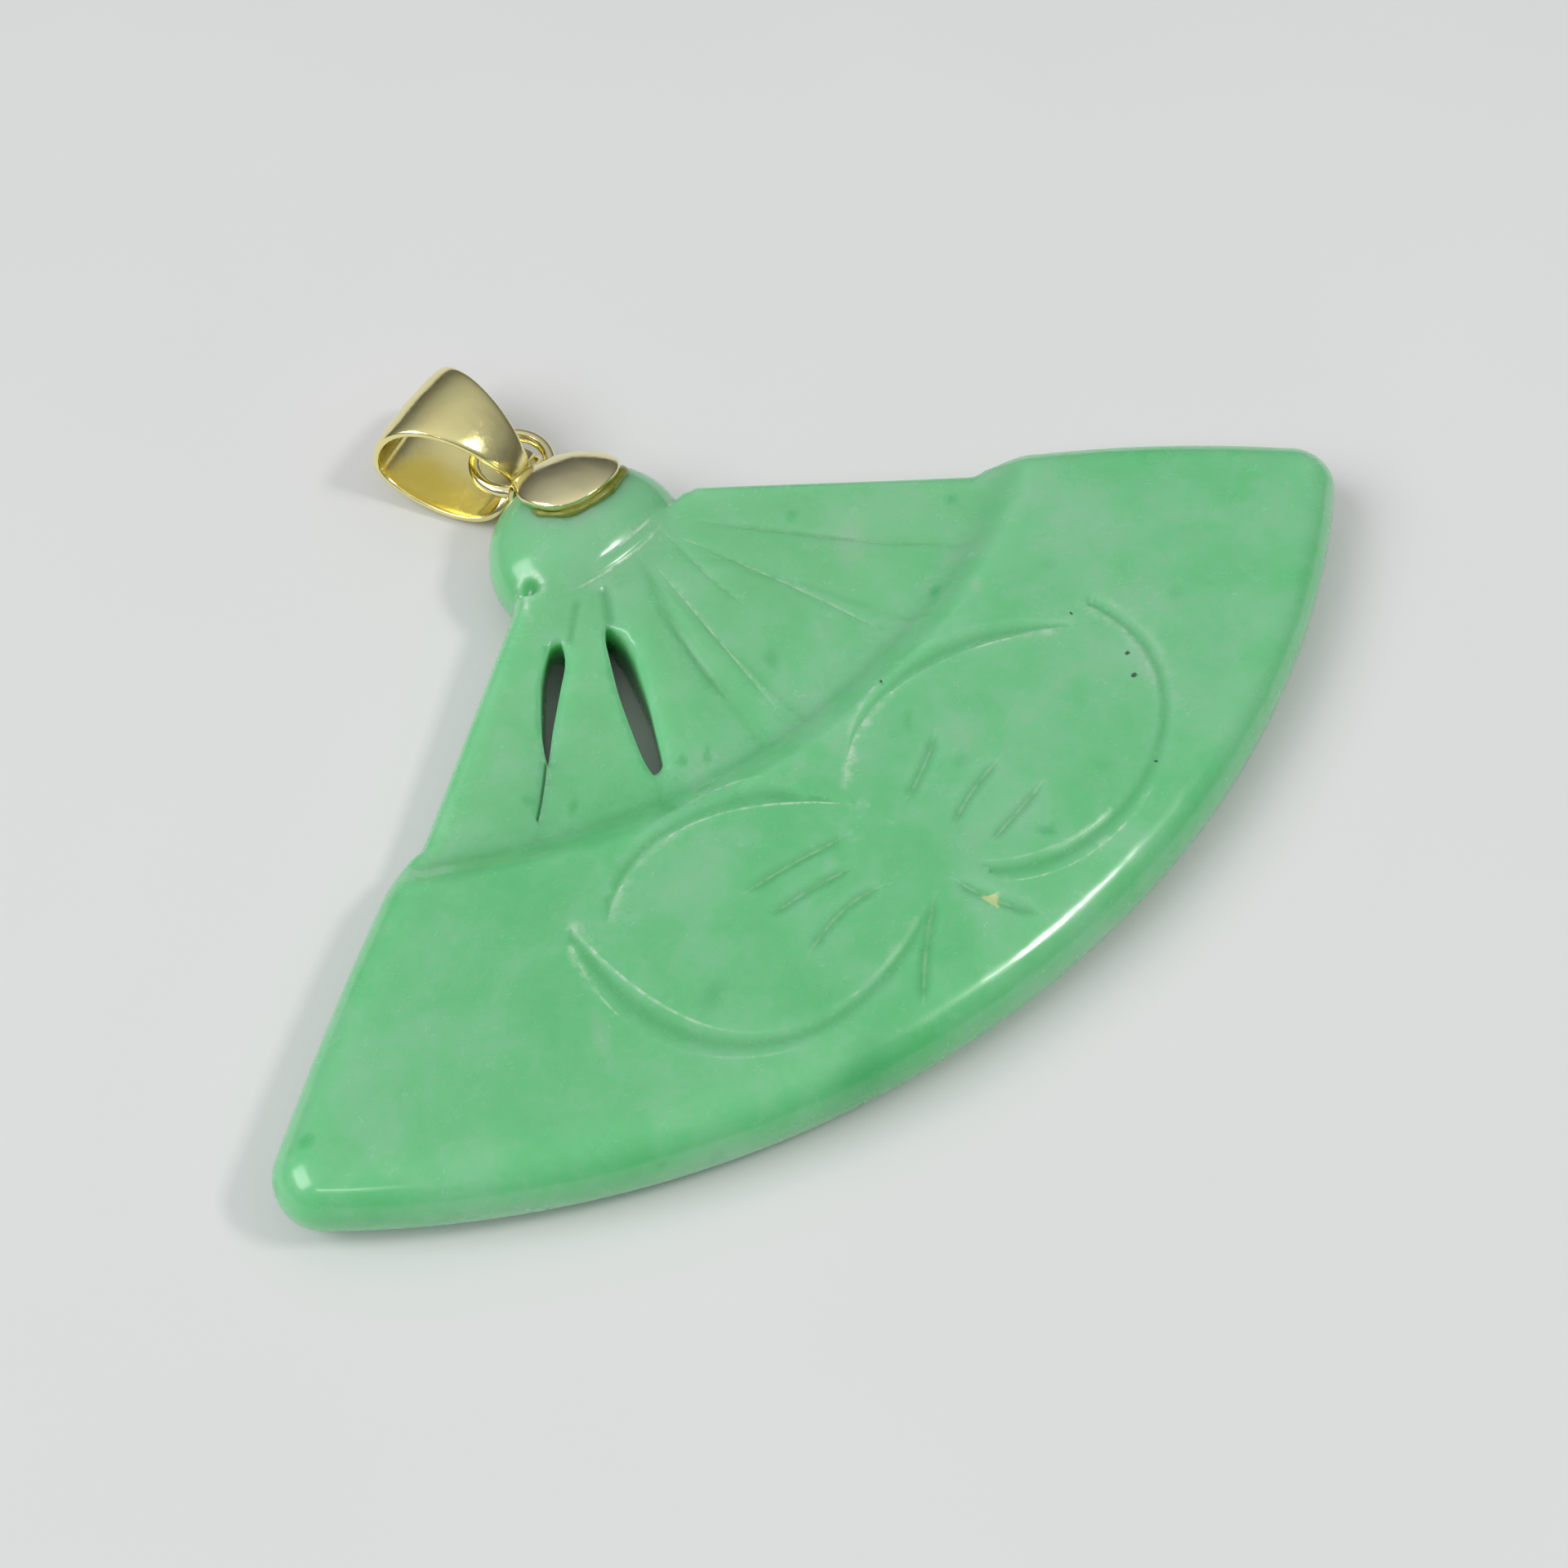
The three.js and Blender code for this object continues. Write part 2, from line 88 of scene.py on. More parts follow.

# Gouge cuts of the motif: each lies between an outer and an inner edge. The bright numbers say how white
# the edge is painted along its length, partly whitening from wear and partly painted highlight: pairs of share and
# strength.
GOUGES = (
    dict(outer=((-9.8, -21.5), (-11.8, -27.3), (-5.2, -30.2), (-1.1, -26.9)),
         inner=((-9.4, -21.0), (-9.6, -26.2), (-7.5, -29.1), (-1.6, -26.9)),
         outer_wear_and_highlight=((0, 0.7), (0.14, 0.5), (0.2, 0), (0.38, 0.15), (0.5, 0.3), (0.6, 0), (1, 0)),
         inner_wear_and_highlight=((0, 0.9), (0.25, 0.7), (0.4, 0.35), (0.5, 0), (0.8, 0.1), (0.95, 0.3), (1, 0.2))),
    dict(outer=((-7.9, -20.7), (-7.2, -19.4), (-1.3, -19.4), (-1.6, -21.9)),
         inner=((-8.7, -21.7), (-5.8, -19.1), (-2.5, -21.1), (-0.5, -23.4)),
         outer_wear_and_highlight=((0, 0), (0.4, 0.15), (0.7, 0.6), (0.8, 0), (1, 0)),
         inner_wear_and_highlight=((0, 0.1), (0.1, 0.8), (0.35, 0.9), (0.6, 0.7), (0.75, 0.8), (0.9, 0.6), (1, 0.2))),
    dict(outer=((0.0, -21.8), (2.4, -19.3), (6.3, -19.6), (8.4, -22.3)),
         inner=((-0.8, -22.7), (1.5, -19.7), (5.4, -20.8), (8.2, -22.4)),
         outer_wear_and_highlight=((0, 0.1), (0.15, 0.45), (0.3, 0.6), (0.36, 0.1), (0.8, 0), (1, 0.2)),
         inner_wear_and_highlight=((0, 0.1), (0.12, 0.8), (0.4, 0.9), (0.5, 0.1), (0.7, 0.1), (0.76, 0.9), (0.95, 0.9), (1, 0))),
    dict(outer=((9.8, -22.3), (11.4, -27.1), (3.7, -30.4), (0.6, -27.6)),
         inner=((9.2, -22.1), (10.9, -26.9), (3.8, -29.6), (0.7, -26.8)),
         outer_wear_and_highlight=((0, 0.6), (0.2, 0.4), (0.3, 0.1), (0.55, 0), (0.62, 0.8), (0.85, 0.7), (0.97, 0.4), (1, 0)),
         inner_wear_and_highlight=((0, 0.8), (0.12, 0.9), (0.26, 0.8), (0.32, 0), (0.6, 0), (0.68, 0.5), (0.9, 0.3), (1, 0))),
)
VEINS = (
    ((-1.6, -23.7), (-2.7, -23.5), (-3.8, -23.3), (-5.0, -23.3)),
    ((-2.2, -24.6), (-3.1, -24.4), (-4.0, -24.3), (-5.0, -24.3)),
    ((-2.0, -25.6), (-2.9, -25.3), (-3.9, -25.5), (-4.9, -25.9)),
    ((0.5, -23.9), (1.2, -23.6), (2.0, -23.2), (2.7, -22.7)),
    ((0.9, -25.4), (1.7, -25.0), (2.6, -24.7), (3.4, -24.6)),
    ((1.4, -26.5), (2.2, -26.3), (3.0, -26.2), (3.8, -26.0)),
)
TAILS = (
    ((-1.1, -26.8), (-1.9, -27.4), (-2.8, -28.2), (-3.6, -29.1)),
    ((-0.3, -26.8), (-0.1, -27.6), (0.2, -28.3), (0.8, -29.1)),
)
# Knife lines between the sticks: path, width, depth and how white their edge is painted, partly whitening from wear
# and partly painted highlight on the crests
STICK_LINES = (
    (((-2.1, -11.9), (-3.4, -13.1)), 0.4, 0.06, 0.0),
    (((-1.2, -12.0), (-2.0, -13.4)), 0.6, 0.09, 0.0),
    (((0.3, -12.0), (-0.4, -13.9), (-0.8, -15.7), (-0.8, -17.4)), 0.7, 0.07, 0.1),
    (((0.5, -12.4), (0.35, -15.2), (0.1, -18.4)), 0.16, 0.04, 0.6),
    (((1.5, -11.8), (1.45, -13.4), (1.7, -15.2)), 0.2, 0.05, 0.3),
    (((1.8, -12.2), (3.4, -15.5), (4.35, -18.2)), 0.2, 0.05, 0.7),
    (((2.6, -11.9), (5.4, -15.0), (7.6, -17.0)), 0.3, 0.04, 0.15),
)
# Pierced slots: each closed line on the face and on the back, from its narrow upper end round to the right.
# A shallow knife line leads down to each of them.
SLOTS = (
    dict(face=((-3.5, -12.82), (-3.62, -13.16), (-3.95, -13.6), (-4.54, -14.14), (-5.56, -15.09), (-6.38, -15.9),
               (-5.92, -15.02), (-5.42, -14.3), (-4.8, -13.5), (-4.2, -12.98), (-3.8, -12.72)),
         back=((-3.17, -12.14), (-3.22, -12.45), (-3.72, -13.32), (-4.5, -14.1), (-5.5, -15.03), (-6.36, -15.88),
               (-5.86, -14.92), (-5.42, -14.3), (-4.78, -13.48), (-3.99, -12.52), (-3.45, -12.1))),
    dict(face=((-2.02, -13.2), (-1.85, -13.75), (-2.0, -14.5), (-2.5, -15.6), (-3.05, -16.7), (-3.72, -17.95),
               (-4.16, -18.05), (-4.05, -17.35), (-3.36, -15.51), (-2.8, -14.35), (-2.35, -13.5)),
         back=((-1.78, -12.78), (-1.85, -13.6), (-2.1, -14.45), (-2.58, -15.87), (-3.1, -16.87), (-3.74, -17.93),
               (-4.14, -18.0), (-4.03, -17.3), (-3.38, -15.55), (-2.75, -14.4), (-2.1, -13.2))),
)
SAW_LINE = ((-6.35, -15.75), (-7.0, -16.5), (-7.8, -17.2))
SLOT_POINTS = 170
SLOT_TENSION = 0.4


# Plane curves, as arrays of points
def bezier(controls, steps):
    control = np.array(controls, float)
    share = np.linspace(0, 1, steps)[:, None]
    while len(control) > 1:
        control = [control[i] * (1 - share) + control[i + 1] * share for i in range(len(control) - 1)]
    return control[0]


def arc(centre, radius, start, stop, steps):
    turn = np.linspace(start, stop, steps)
    return np.stack([centre[0] + radius * np.cos(turn), centre[1] + radius * np.sin(turn)], 1)


def half_of_leaf(angle, offset, bulge, tip, shoulder):
    outward = np.array([math.cos(angle), math.sin(angle)])
    downward = np.array([outward[1], -outward[0]])
    centre_offset = offset - tip
    reach = math.sqrt((FAN_RADIUS - tip) ** 2 - centre_offset ** 2)
    centre = outward * centre_offset + downward * reach
    arc_turn = math.atan2(centre[1], centre[0])
    outer = arc((0, 0), FAN_RADIUS, -math.pi / 2, arc_turn, 160)
    corner = arc(centre, tip, arc_turn, angle, 24)
    side_start = corner[-1]
    shoulder = np.array(shoulder)
    down = side_start - shoulder
    side_end = shoulder + down * SHOULDER_ROUND / np.hypot(*down)
    bow = (side_start + side_end) / 2 + outward * 2 * bulge
    side = bezier((side_start, bow, side_end), 40)
    arc_start = (INNER_ARC["half_chord"], INNER_ARC["chord_y"])
    turn = bezier((side_end, shoulder, arc_start), 14)
    return np.concatenate([outer[:-1], corner[:-1], side[:-1], turn[:-1]])


def inner_arc():
    sag = INNER_ARC["chord_y"] - INNER_ARC["lowest"]
    half_chord = INNER_ARC["half_chord"]
    radius = (half_chord ** 2 + sag ** 2) / (2 * sag)
    half = math.asin(half_chord / radius)
    centre = (0, INNER_ARC["lowest"] + radius)
    return arc(centre, radius, half - math.pi / 2, -half - math.pi / 2, 120)


def leaf_outline():
    right = half_of_leaf(**RIGHT_SIDE)
    left = half_of_leaf(**LEFT_SIDE)[1:][::-1] * (-1, 1)
    return np.concatenate([right, inner_arc(), left])


def guard_x(side, y):
    return (GUARD_OFFSET[side] - y * math.sin(GUARD_ANGLE)) / math.cos(GUARD_ANGLE)


def stick_outline():
    neck = HEAD[1] - 0.2
    low = INNER_ARC["chord_y"] - 0.8
    return np.array([
        (guard_x(0, low), low), (guard_x(0, neck), neck), (-guard_x(1, neck), neck), (-guard_x(1, low), low),
        (-guard_x(1, low) / 2, INNER_ARC["lowest"] - 1.2), (0, INNER_ARC["lowest"] - 2.2),
        (guard_x(0, low) / 2, INNER_ARC["lowest"] - 1.2),
    ])


# Distances from many points to a path, and whether they lie inside a closed one
def distance_to_path(points, path, closed=False):
    ends = np.roll(path, -1, 0) if closed else path[1:]
    starts = path if closed else path[:-1]
    along = ends - starts
    length = np.maximum((along ** 2).sum(1), 1e-12)
    nearest = np.empty(len(points))
    place = np.empty(len(points))
    for first in range(0, len(points), 4000):
        part = points[first:first + 4000]
        offset = part[:, None, :] - starts[None]
        share = np.clip((offset * along[None]).sum(2) / length, 0, 1)
        gap = offset - share[..., None] * along[None]
        squared = (gap ** 2).sum(2)
        best = squared.argmin(1)
        row = np.arange(len(part))
        nearest[first:first + 4000] = np.sqrt(squared[row, best])
        place[first:first + 4000] = (best + share[row, best]) / len(starts)
    return nearest, place


def is_inside(points, outline):
    inside = np.zeros(len(points), bool)
    x, y = points[:, 0], points[:, 1]
    for (x0, y0), (x1, y1) in zip(outline, np.roll(outline, -1, 0)):
        if y0 == y1:
            continue
        crosses = (y0 > y) != (y1 > y)
        inside ^= crosses & (x < (x1 - x0) * (y - y0) / (y1 - y0) + x0)
    return inside


def depth_inside(points, outline):
    distance, _ = distance_to_path(points, outline, closed=True)
    return np.where(is_inside(points, outline), distance, -distance)


def smooth_step(value):
    share = np.clip(value, 0, 1)
    return share * share * (3 - 2 * share)


def smooth_max(first, second, softness):
    blend = np.clip(0.5 + 0.5 * (first - second) / softness, 0, 1)
    return second + (first - second) * blend + softness * blend * (1 - blend)


LEAF = leaf_outline()
LEAF_EDGE = np.concatenate([half_of_leaf(**LEFT_SIDE)[1:][::-1] * (-1, 1), half_of_leaf(**RIGHT_SIDE)])
STICKS = stick_outline()
LEAF_BASE = np.array([LEAF[:, 0].min() + LEAF[:, 0].max(), 2 * LEAF[:, 1].min()]) / 2
CAD_LOW, CAD_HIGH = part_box("jade_fan")
SHIFT = np.array([(CAD_LOW.x + CAD_HIGH.x) / 2 / MM - LEAF_BASE[0], CAD_LOW.y / MM - LEAF_BASE[1], 0.0])


def in_part(points):
    return (np.asarray(points, float) + SHIFT) * MM


# Heights of the carved face and of the back over the plane the pendant lies on
def round_rim(depth, rim, fullness=2.15):
    share = np.clip(depth / rim, 0, 1)
    return (1 - (1 - share) ** fullness) ** (1 / fullness)


def stick_plateau(points):
    return STICK_LOW[1] + STICK_SLOPE * (points[:, 1] - STICK_LOW[0])


def pleats(points):
    x = points[:, 0] - STICK_PIVOT[0]
    y = STICK_PIVOT[1] - points[:, 1]
    angle = np.degrees(np.arctan2(x, np.maximum(y, 0.01)))
    rise = np.zeros(len(points))
    for low, high in zip(STICK_EDGES[:-1], STICK_EDGES[1:]):
        share = (angle - low) / (high - low)
        within = (share >= 0) & (share < 1)
        rise = np.where(within, 0.06 * np.sin(math.pi * np.clip(share, 0, 1)) ** 0.8 + 0.035 * (share - 0.5), rise)
    spread = smooth_step((y - 2.2) / 3.0)
    return (rise - 0.03) * spread


def pebble_rise(head_depth):
    """How far the pebble-shaped head has risen from its middle, 0 at its edge and 1 at its centre."""
    share = np.clip(1 - head_depth / HEAD_RADIUS, 0, 1)
    return (1 - share ** HEAD_FULLNESS) ** (1 / HEAD_FULLNESS)


def above_foot(points):
    centre_y = FOOT["lowest"] + FOOT["radius"]
    return FOOT["radius"] - np.hypot(points[:, 0] - FOOT["x"], points[:, 1] - centre_y)


def hand_polish(points):
    x, y = points[:, 0], points[:, 1]
    return (0.012 * np.sin(0.9 * x + 0.5 * y + 0.4) * np.sin(0.8 * y - 0.35 * x + 1.9)
            + 0.008 * np.sin(1.9 * x - 1.1 * y + 2.2) * np.sin(1.5 * y + 0.8 * x + 0.3)
            + 0.004 * np.sin(3.7 * x + 2.9 * y) * np.sin(3.1 * y - 2.3 * x + 1.1))


def uncut_face(points, filling, leaf_depth, stick_depth, head_depth):
    edge = LEAF_EDGE[:-1]
    to_edge, _ = distance_to_path(points, edge)
    to_edge = np.where(leaf_depth > filling, to_edge + filling, leaf_depth)
    to_arc, _ = distance_to_path(points, inner_arc())
    crown = 0.84 * round_rim(to_edge, LEAF_RIM) + 0.16 * round_rim(to_edge, 4.2, 2.0)
    plateau = stick_plateau(points) + pleats(points)
    leaf = LEAF_MIDDLE + (LEAF_TOP - LEAF_MIDDLE) * crown
    drop = np.maximum(leaf - (plateau - ARC_STEP), 0)
    leaf = leaf - drop * (1 - smooth_step(to_arc / ARC_SLOPE)) + 6 * np.minimum(leaf_depth, 0)
    waist = (STICK_BACK + plateau) / 2
    sticks = waist + (plateau - waist) * round_rim(stick_depth, STICK_RIM) + 6 * np.minimum(stick_depth, 0)
    rise = pebble_rise(head_depth)
    foot = above_foot(points)
    lowered = FOOT_SLOPE * 0.4 * np.logaddexp(0, (1.25 - foot) / 0.4)
    dome = np.maximum((HEAD_TOP - HEAD_MIDDLE) * rise - lowered, 0)
    head = HEAD_MIDDLE + dome + 6 * np.minimum(head_depth, 0)
    face = smooth_max(smooth_max(leaf, sticks, 0.3), head, 0.3)
    return face + hand_polish(points) * smooth_step(np.maximum(leaf_depth, stick_depth) / 1.5)


def plain_back(points, leaf_depth, stick_depth, head_depth):
    leaf = LEAF_MIDDLE * (1 - round_rim(leaf_depth, LEAF_RIM)) - 6 * np.minimum(leaf_depth, 0)
    plateau = stick_plateau(points)
    waist = (STICK_BACK + plateau) / 2
    sticks = waist - (waist - STICK_BACK) * round_rim(stick_depth, STICK_RIM) - 6 * np.minimum(stick_depth, 0)
    head = HEAD_MIDDLE - (HEAD_MIDDLE - HEAD_BACK) * pebble_rise(head_depth) - 6 * np.minimum(head_depth, 0)
    return -smooth_max(smooth_max(-leaf, -sticks, 0.2), -head, 0.2)


def gouge_sides(gouge, steps=90):
    return bezier(gouge["outer"], steps), bezier(gouge["inner"], steps)


def gouge_cut(points, gouge):
    """A cut that slopes gently down from its outer edge and rises sharply to its inner one."""
    outer, inner = gouge_sides(gouge)
    to_outer, _ = distance_to_path(points, outer)
    to_inner, _ = distance_to_path(points, inner)
    width = to_outer + to_inner
    inside = is_inside(points, np.concatenate([outer, inner[::-1]]))
    across = to_outer / np.maximum(width, 1e-6)
    gentle = smooth_step(across / GOUGE_DEEPEST)
    steep = np.clip((1 - across) / (1 - GOUGE_DEEPEST), 0, 1) ** 0.8
    reach = np.minimum(GOUGE_STEEPNESS * width, GOUGE_DEPTH) + 0.015
    return np.where(inside, np.minimum(gentle, steep) * reach, 0)


def groove_cut(points, path, width, depth, wear=0.0, fade=0.16):
    away, place = distance_to_path(points, path)
    taper = np.clip(np.minimum(place, 1 - place) / fade, 0, 1) ** 0.7
    share = np.clip(1 - away / (width / 2 * (0.4 + 0.6 * taper)), 0, 1)
    return depth * taper * smooth_step(share)


def highlight_and_wear_line(points, path, wear, width=0.055):
    """How white an edge line is painted, partly whitening from wear and partly painted highlight: 1 on its line,
    fading within the width.
    """
    away, place = distance_to_path(points, path)
    shares, strengths = zip(*wear)
    return np.interp(place, shares, strengths) * np.clip(1 - away / width, 0, 1)


def closed_curve(corners, count):
    """An even, smooth closed line through its corner points."""
    corners = np.array(corners)
    before, after, beyond = np.roll(corners, 1, 0), np.roll(corners, -1, 0), np.roll(corners, -2, 0)
    share = np.linspace(0, 1, 20, endpoint=False)[:, None]
    spans = []
    for p0, p1, p2, p3 in zip(before, corners, after, beyond):
        rise, fall = (p2 - p0) * SLOT_TENSION, (p3 - p1) * SLOT_TENSION
        spans.append((2 * share ** 3 - 3 * share ** 2 + 1) * p1 + (share ** 3 - 2 * share ** 2 + share) * rise
                     + (3 * share ** 2 - 2 * share ** 3) * p2 + (share ** 3 - share ** 2) * fall)
    loop = np.concatenate(spans + [spans[0][:1]])
    travelled = np.concatenate([[0], np.cumsum(np.hypot(*np.diff(loop, axis=0).T))])
    places = np.linspace(0, travelled[-1], count, endpoint=False)
    return np.stack([np.interp(places, travelled, loop[:, i]) for i in (0, 1)], 1)


def foot_line(rise, start, stop):
    centre = (FOOT["x"], FOOT["lowest"] + rise + FOOT["radius"])
    reach = [-math.pi / 2 + (x - FOOT["x"]) / FOOT["radius"] for x in (start, stop)]
    return arc(centre, FOOT["radius"], reach[0], reach[1], 30)


FACE_SLOTS = [closed_curve(slot["face"], SLOT_POINTS) for slot in SLOTS]
BACK_SLOTS = [closed_curve(slot["back"], SLOT_POINTS) for slot in SLOTS]
GROOVES = (
    [dict(path=bezier(line, 24), width=0.62, depth=0.085, wear=0.4) for line in VEINS]
    + [dict(path=bezier(line, 24), width=0.62, depth=0.085, wear=0.35) for line in TAILS]
    + [dict(path=bezier(path, 24), width=width, depth=depth, wear=wear) for path, width, depth, wear in STICK_LINES]
    + [dict(path=bezier(SAW_LINE, 16), width=0.12, depth=0.5)]
    # The two neck lines are painted fully white along their length: painted highlight on their crests.
    + [dict(path=foot_line(0.2, -2.2, 1.5), width=0.22, depth=0.045, wear=1.0)]
    + [dict(path=foot_line(0.6, -0.9, 1.5), width=0.2, depth=0.04, wear=1.0)]
)


def carving(points):
    cut = np.zeros(len(points))
    for gouge in GOUGES:
        cut = np.maximum(cut, gouge_cut(points, gouge))
    for groove in GROOVES:
        cut = np.maximum(cut, groove_cut(points, **groove))
    away = np.hypot(points[:, 0] - DIMPLE[0], points[:, 1] - DIMPLE[1])
    cut = np.maximum(cut, 0.22 * smooth_step(1 - away / DIMPLE_RADIUS) - 0.03 * np.exp(-((away - 0.5) / 0.12) ** 2))
    return cut


def wear(points):
    """The whitened edges that the graver left, together with painted highlights on edges and crests: a value at each
    point, 1 at the whitest.
    """
    whitening_and_highlight = np.zeros(len(points))
    for gouge in GOUGES:
        outer, inner = gouge_sides(gouge)
        whitening_and_highlight = np.maximum(whitening_and_highlight, highlight_and_wear_line(points, outer, gouge["outer_wear_and_highlight"]))
        whitening_and_highlight = np.maximum(whitening_and_highlight, highlight_and_wear_line(points, inner, gouge["inner_wear_and_highlight"]))
    for groove in GROOVES:
        strength = groove.get("wear", 0.0)
        if strength:
            fade = ((0, 0.2), (0.2, strength), (0.85, strength), (1, 0.2))
            whitening_and_highlight = np.maximum(whitening_and_highlight, highlight_and_wear_line(points, groove["path"], fade, 0.06))
    away = np.hypot(points[:, 0] - DIMPLE[0], points[:, 1] - DIMPLE[1])
    whitening_and_highlight = np.maximum(whitening_and_highlight, 0.55 * np.clip(1 - np.abs(away - 0.42) / 0.12, 0, 1))
    # Painted highlight: a white line along the crest below the dimple.
    ridge_highlight = bezier(DIMPLE_RIDGE_HIGHLIGHT, 8)
    return np.maximum(whitening_and_highlight, highlight_and_wear_line(points, ridge_highlight, ((0, 0.6), (1, 1)), 0.1))


def slot_lips(points, slots):
    lip = np.zeros(len(points))
    for outline in slots:
        away, _ = distance_to_path(points, outline, closed=True)
        lip = np.maximum(lip, 0.06 * np.clip(1 - away / 0.2, 0, 1) ** 2)
    return lip


# The outline of the whole fan: the edge of leaf, sticks and head together, softened at the notches
def part_depths(points):
    head_depth = HEAD_RADIUS - np.hypot(points[:, 0] - HEAD[0], points[:, 1] - HEAD[1])
    return [depth_inside(points, LEAF), depth_inside(points, STICKS), head_depth]


def merged_depth(leaf_depth, stick_depth, head_depth):
    return smooth_max(smooth_max(leaf_depth, stick_depth, 0.5), head_depth, 0.4)


def filled_depths(points):
    """How far the softened outline fills a notch, and how deep a point so lies in leaf, sticks and head."""
    depths = part_depths(points)
    filling = merged_depth(*depths) - np.max(depths, axis=0)
    return [filling] + [depth + filling for depth in depths]


def fan_outline(spacing):
    heart = np.array([0.0, -20.0])
    turns = np.concatenate([np.linspace(0, 2 * math.pi, 1500, endpoint=False),
                            np.radians(90 + np.linspace(-26, 26, 500)),
                            np.radians(np.linspace(14, 26, 160)), np.radians(np.linspace(154, 166, 160))])
    turns = np.unique(np.mod(turns, 2 * math.pi))
    ray = np.stack([np.cos(turns), np.sin(turns)], 1)
    low, high = np.full(len(turns), 2.0), np.full(len(turns), 24.0)
    for _ in range(26):
        middle = (low + high) / 2
        inside = merged_depth(*part_depths(heart + ray * middle[:, None])) > 0
        low, high = np.where(inside, middle, low), np.where(inside, high, middle)
    rough = heart + ray * low[:, None]
    steps = np.hypot(*np.diff(np.vstack([rough, rough[:1]]), axis=0).T)
    travelled = np.concatenate([[0], np.cumsum(steps)])
    places = np.linspace(0, travelled[-1], int(travelled[-1] / spacing), endpoint=False)
    loop = np.vstack([rough, rough[:1]])
    return np.stack([np.interp(places, travelled, loop[:, i]) for i in (0, 1)], 1)


def inward(outline):
    along = np.roll(outline, -1, 0) - np.roll(outline, 1, 0)
    along /= np.hypot(*along.T)[:, None]
    return np.stack([-along[:, 1], along[:, 0]], 1)


def rows_beside(path, offsets, closed=False):
    along = np.roll(path, -1, 0) - np.roll(path, 1, 0) if closed else np.gradient(path, axis=0)
    along /= np.maximum(np.hypot(*along.T), 1e-9)[:, None]
    across = np.stack([-along[:, 1], along[:, 0]], 1)
    return [path + across * offset for offset in offsets]


def hex_fill(low, high, pitch):
    rows = np.arange(low[1], high[1], pitch * math.sqrt(3) / 2)
    columns = np.arange(low[0], high[0], pitch)
    x, y = np.meshgrid(columns, rows)
    x = x + (np.arange(len(rows)) % 2)[:, None] * pitch / 2
    return np.stack([x.ravel(), y.ravel()], 1)


def thin_out(points, kept, pitch):
    """Drops the points that are nearer than about a pitch to one that came earlier."""
    taken = {}
    for point in kept:
        taken.setdefault((int(point[0] // pitch), int(point[1] // pitch)), []).append(point)
    result = []
    for point in points:
        column, row = int(point[0] // pitch), int(point[1] // pitch)
        near = False
        for i in (column - 1, column, column + 1):
            for j in (row - 1, row, row + 1):
                for other in taken.get((i, j), ()):
                    if (other[0] - point[0]) ** 2 + (other[1] - point[1]) ** 2 < pitch * pitch:
                        near = True
                        break
                if near:
                    break
            if near:
                break
        if not near:
            taken.setdefault((column, row), []).append(point)
            result.append(point)
    return np.array(result)


def feature_rows():
    rows = []
    for gouge in GOUGES:
        outer, inner = gouge_sides(gouge, 150)
        deep = GOUGE_DEEPEST
        for across in (-0.07, 0, 0.07, 0.3, deep - 0.14, deep, deep + 0.14, 0.93, 1, 1.07):
            rows.append(outer + (inner - outer) * across)
    for groove in GROOVES:
        path = groove["path"]
        length = np.hypot(*np.diff(path, axis=0).T).sum()
        fine = np.stack([np.interp(np.linspace(0, 1, int(length / 0.09)), np.linspace(0, 1, len(path)), path[:, i])
                         for i in (0, 1)], 1)
        half = groove["width"] / 2
        rows += rows_beside(fine, (0, -0.06, 0.06, -half, half, -half * 0.5, half * 0.5))
    for reach in (0.37, 0.25, 0.12, 0.5, 0.62):
        rows.append(arc(DIMPLE, reach, 0, 2 * math.pi, int(reach * 60) + 6))
    edge = inner_arc()
    fine = np.stack([np.interp(np.linspace(0, 1, 260), np.linspace(0, 1, len(edge)), edge[:, i]) for i in (0, 1)], 1)
    rows += rows_beside(fine, (-0.3, -0.15, 0, 0.12, 0.26, 0.42, 0.62, 0.85, 1.1, 1.4, 1.75))
    for angle in STICK_EDGES[1:-1]:
        turn = math.radians(angle)
        reach = np.linspace(2.2, 9.6, 80)[:, None]
        spoke = np.array([STICK_PIVOT]) + reach * np.array([[math.sin(turn), -math.cos(turn)]])
        rows += rows_beside(spoke, (-0.05, 0.05))
    return np.concatenate(rows)


RIM_STEPS = (0.012, 0.045, 0.1, 0.18, 0.28, 0.4, 0.54, 0.7, 0.88, 1.08, 1.3, 1.55)


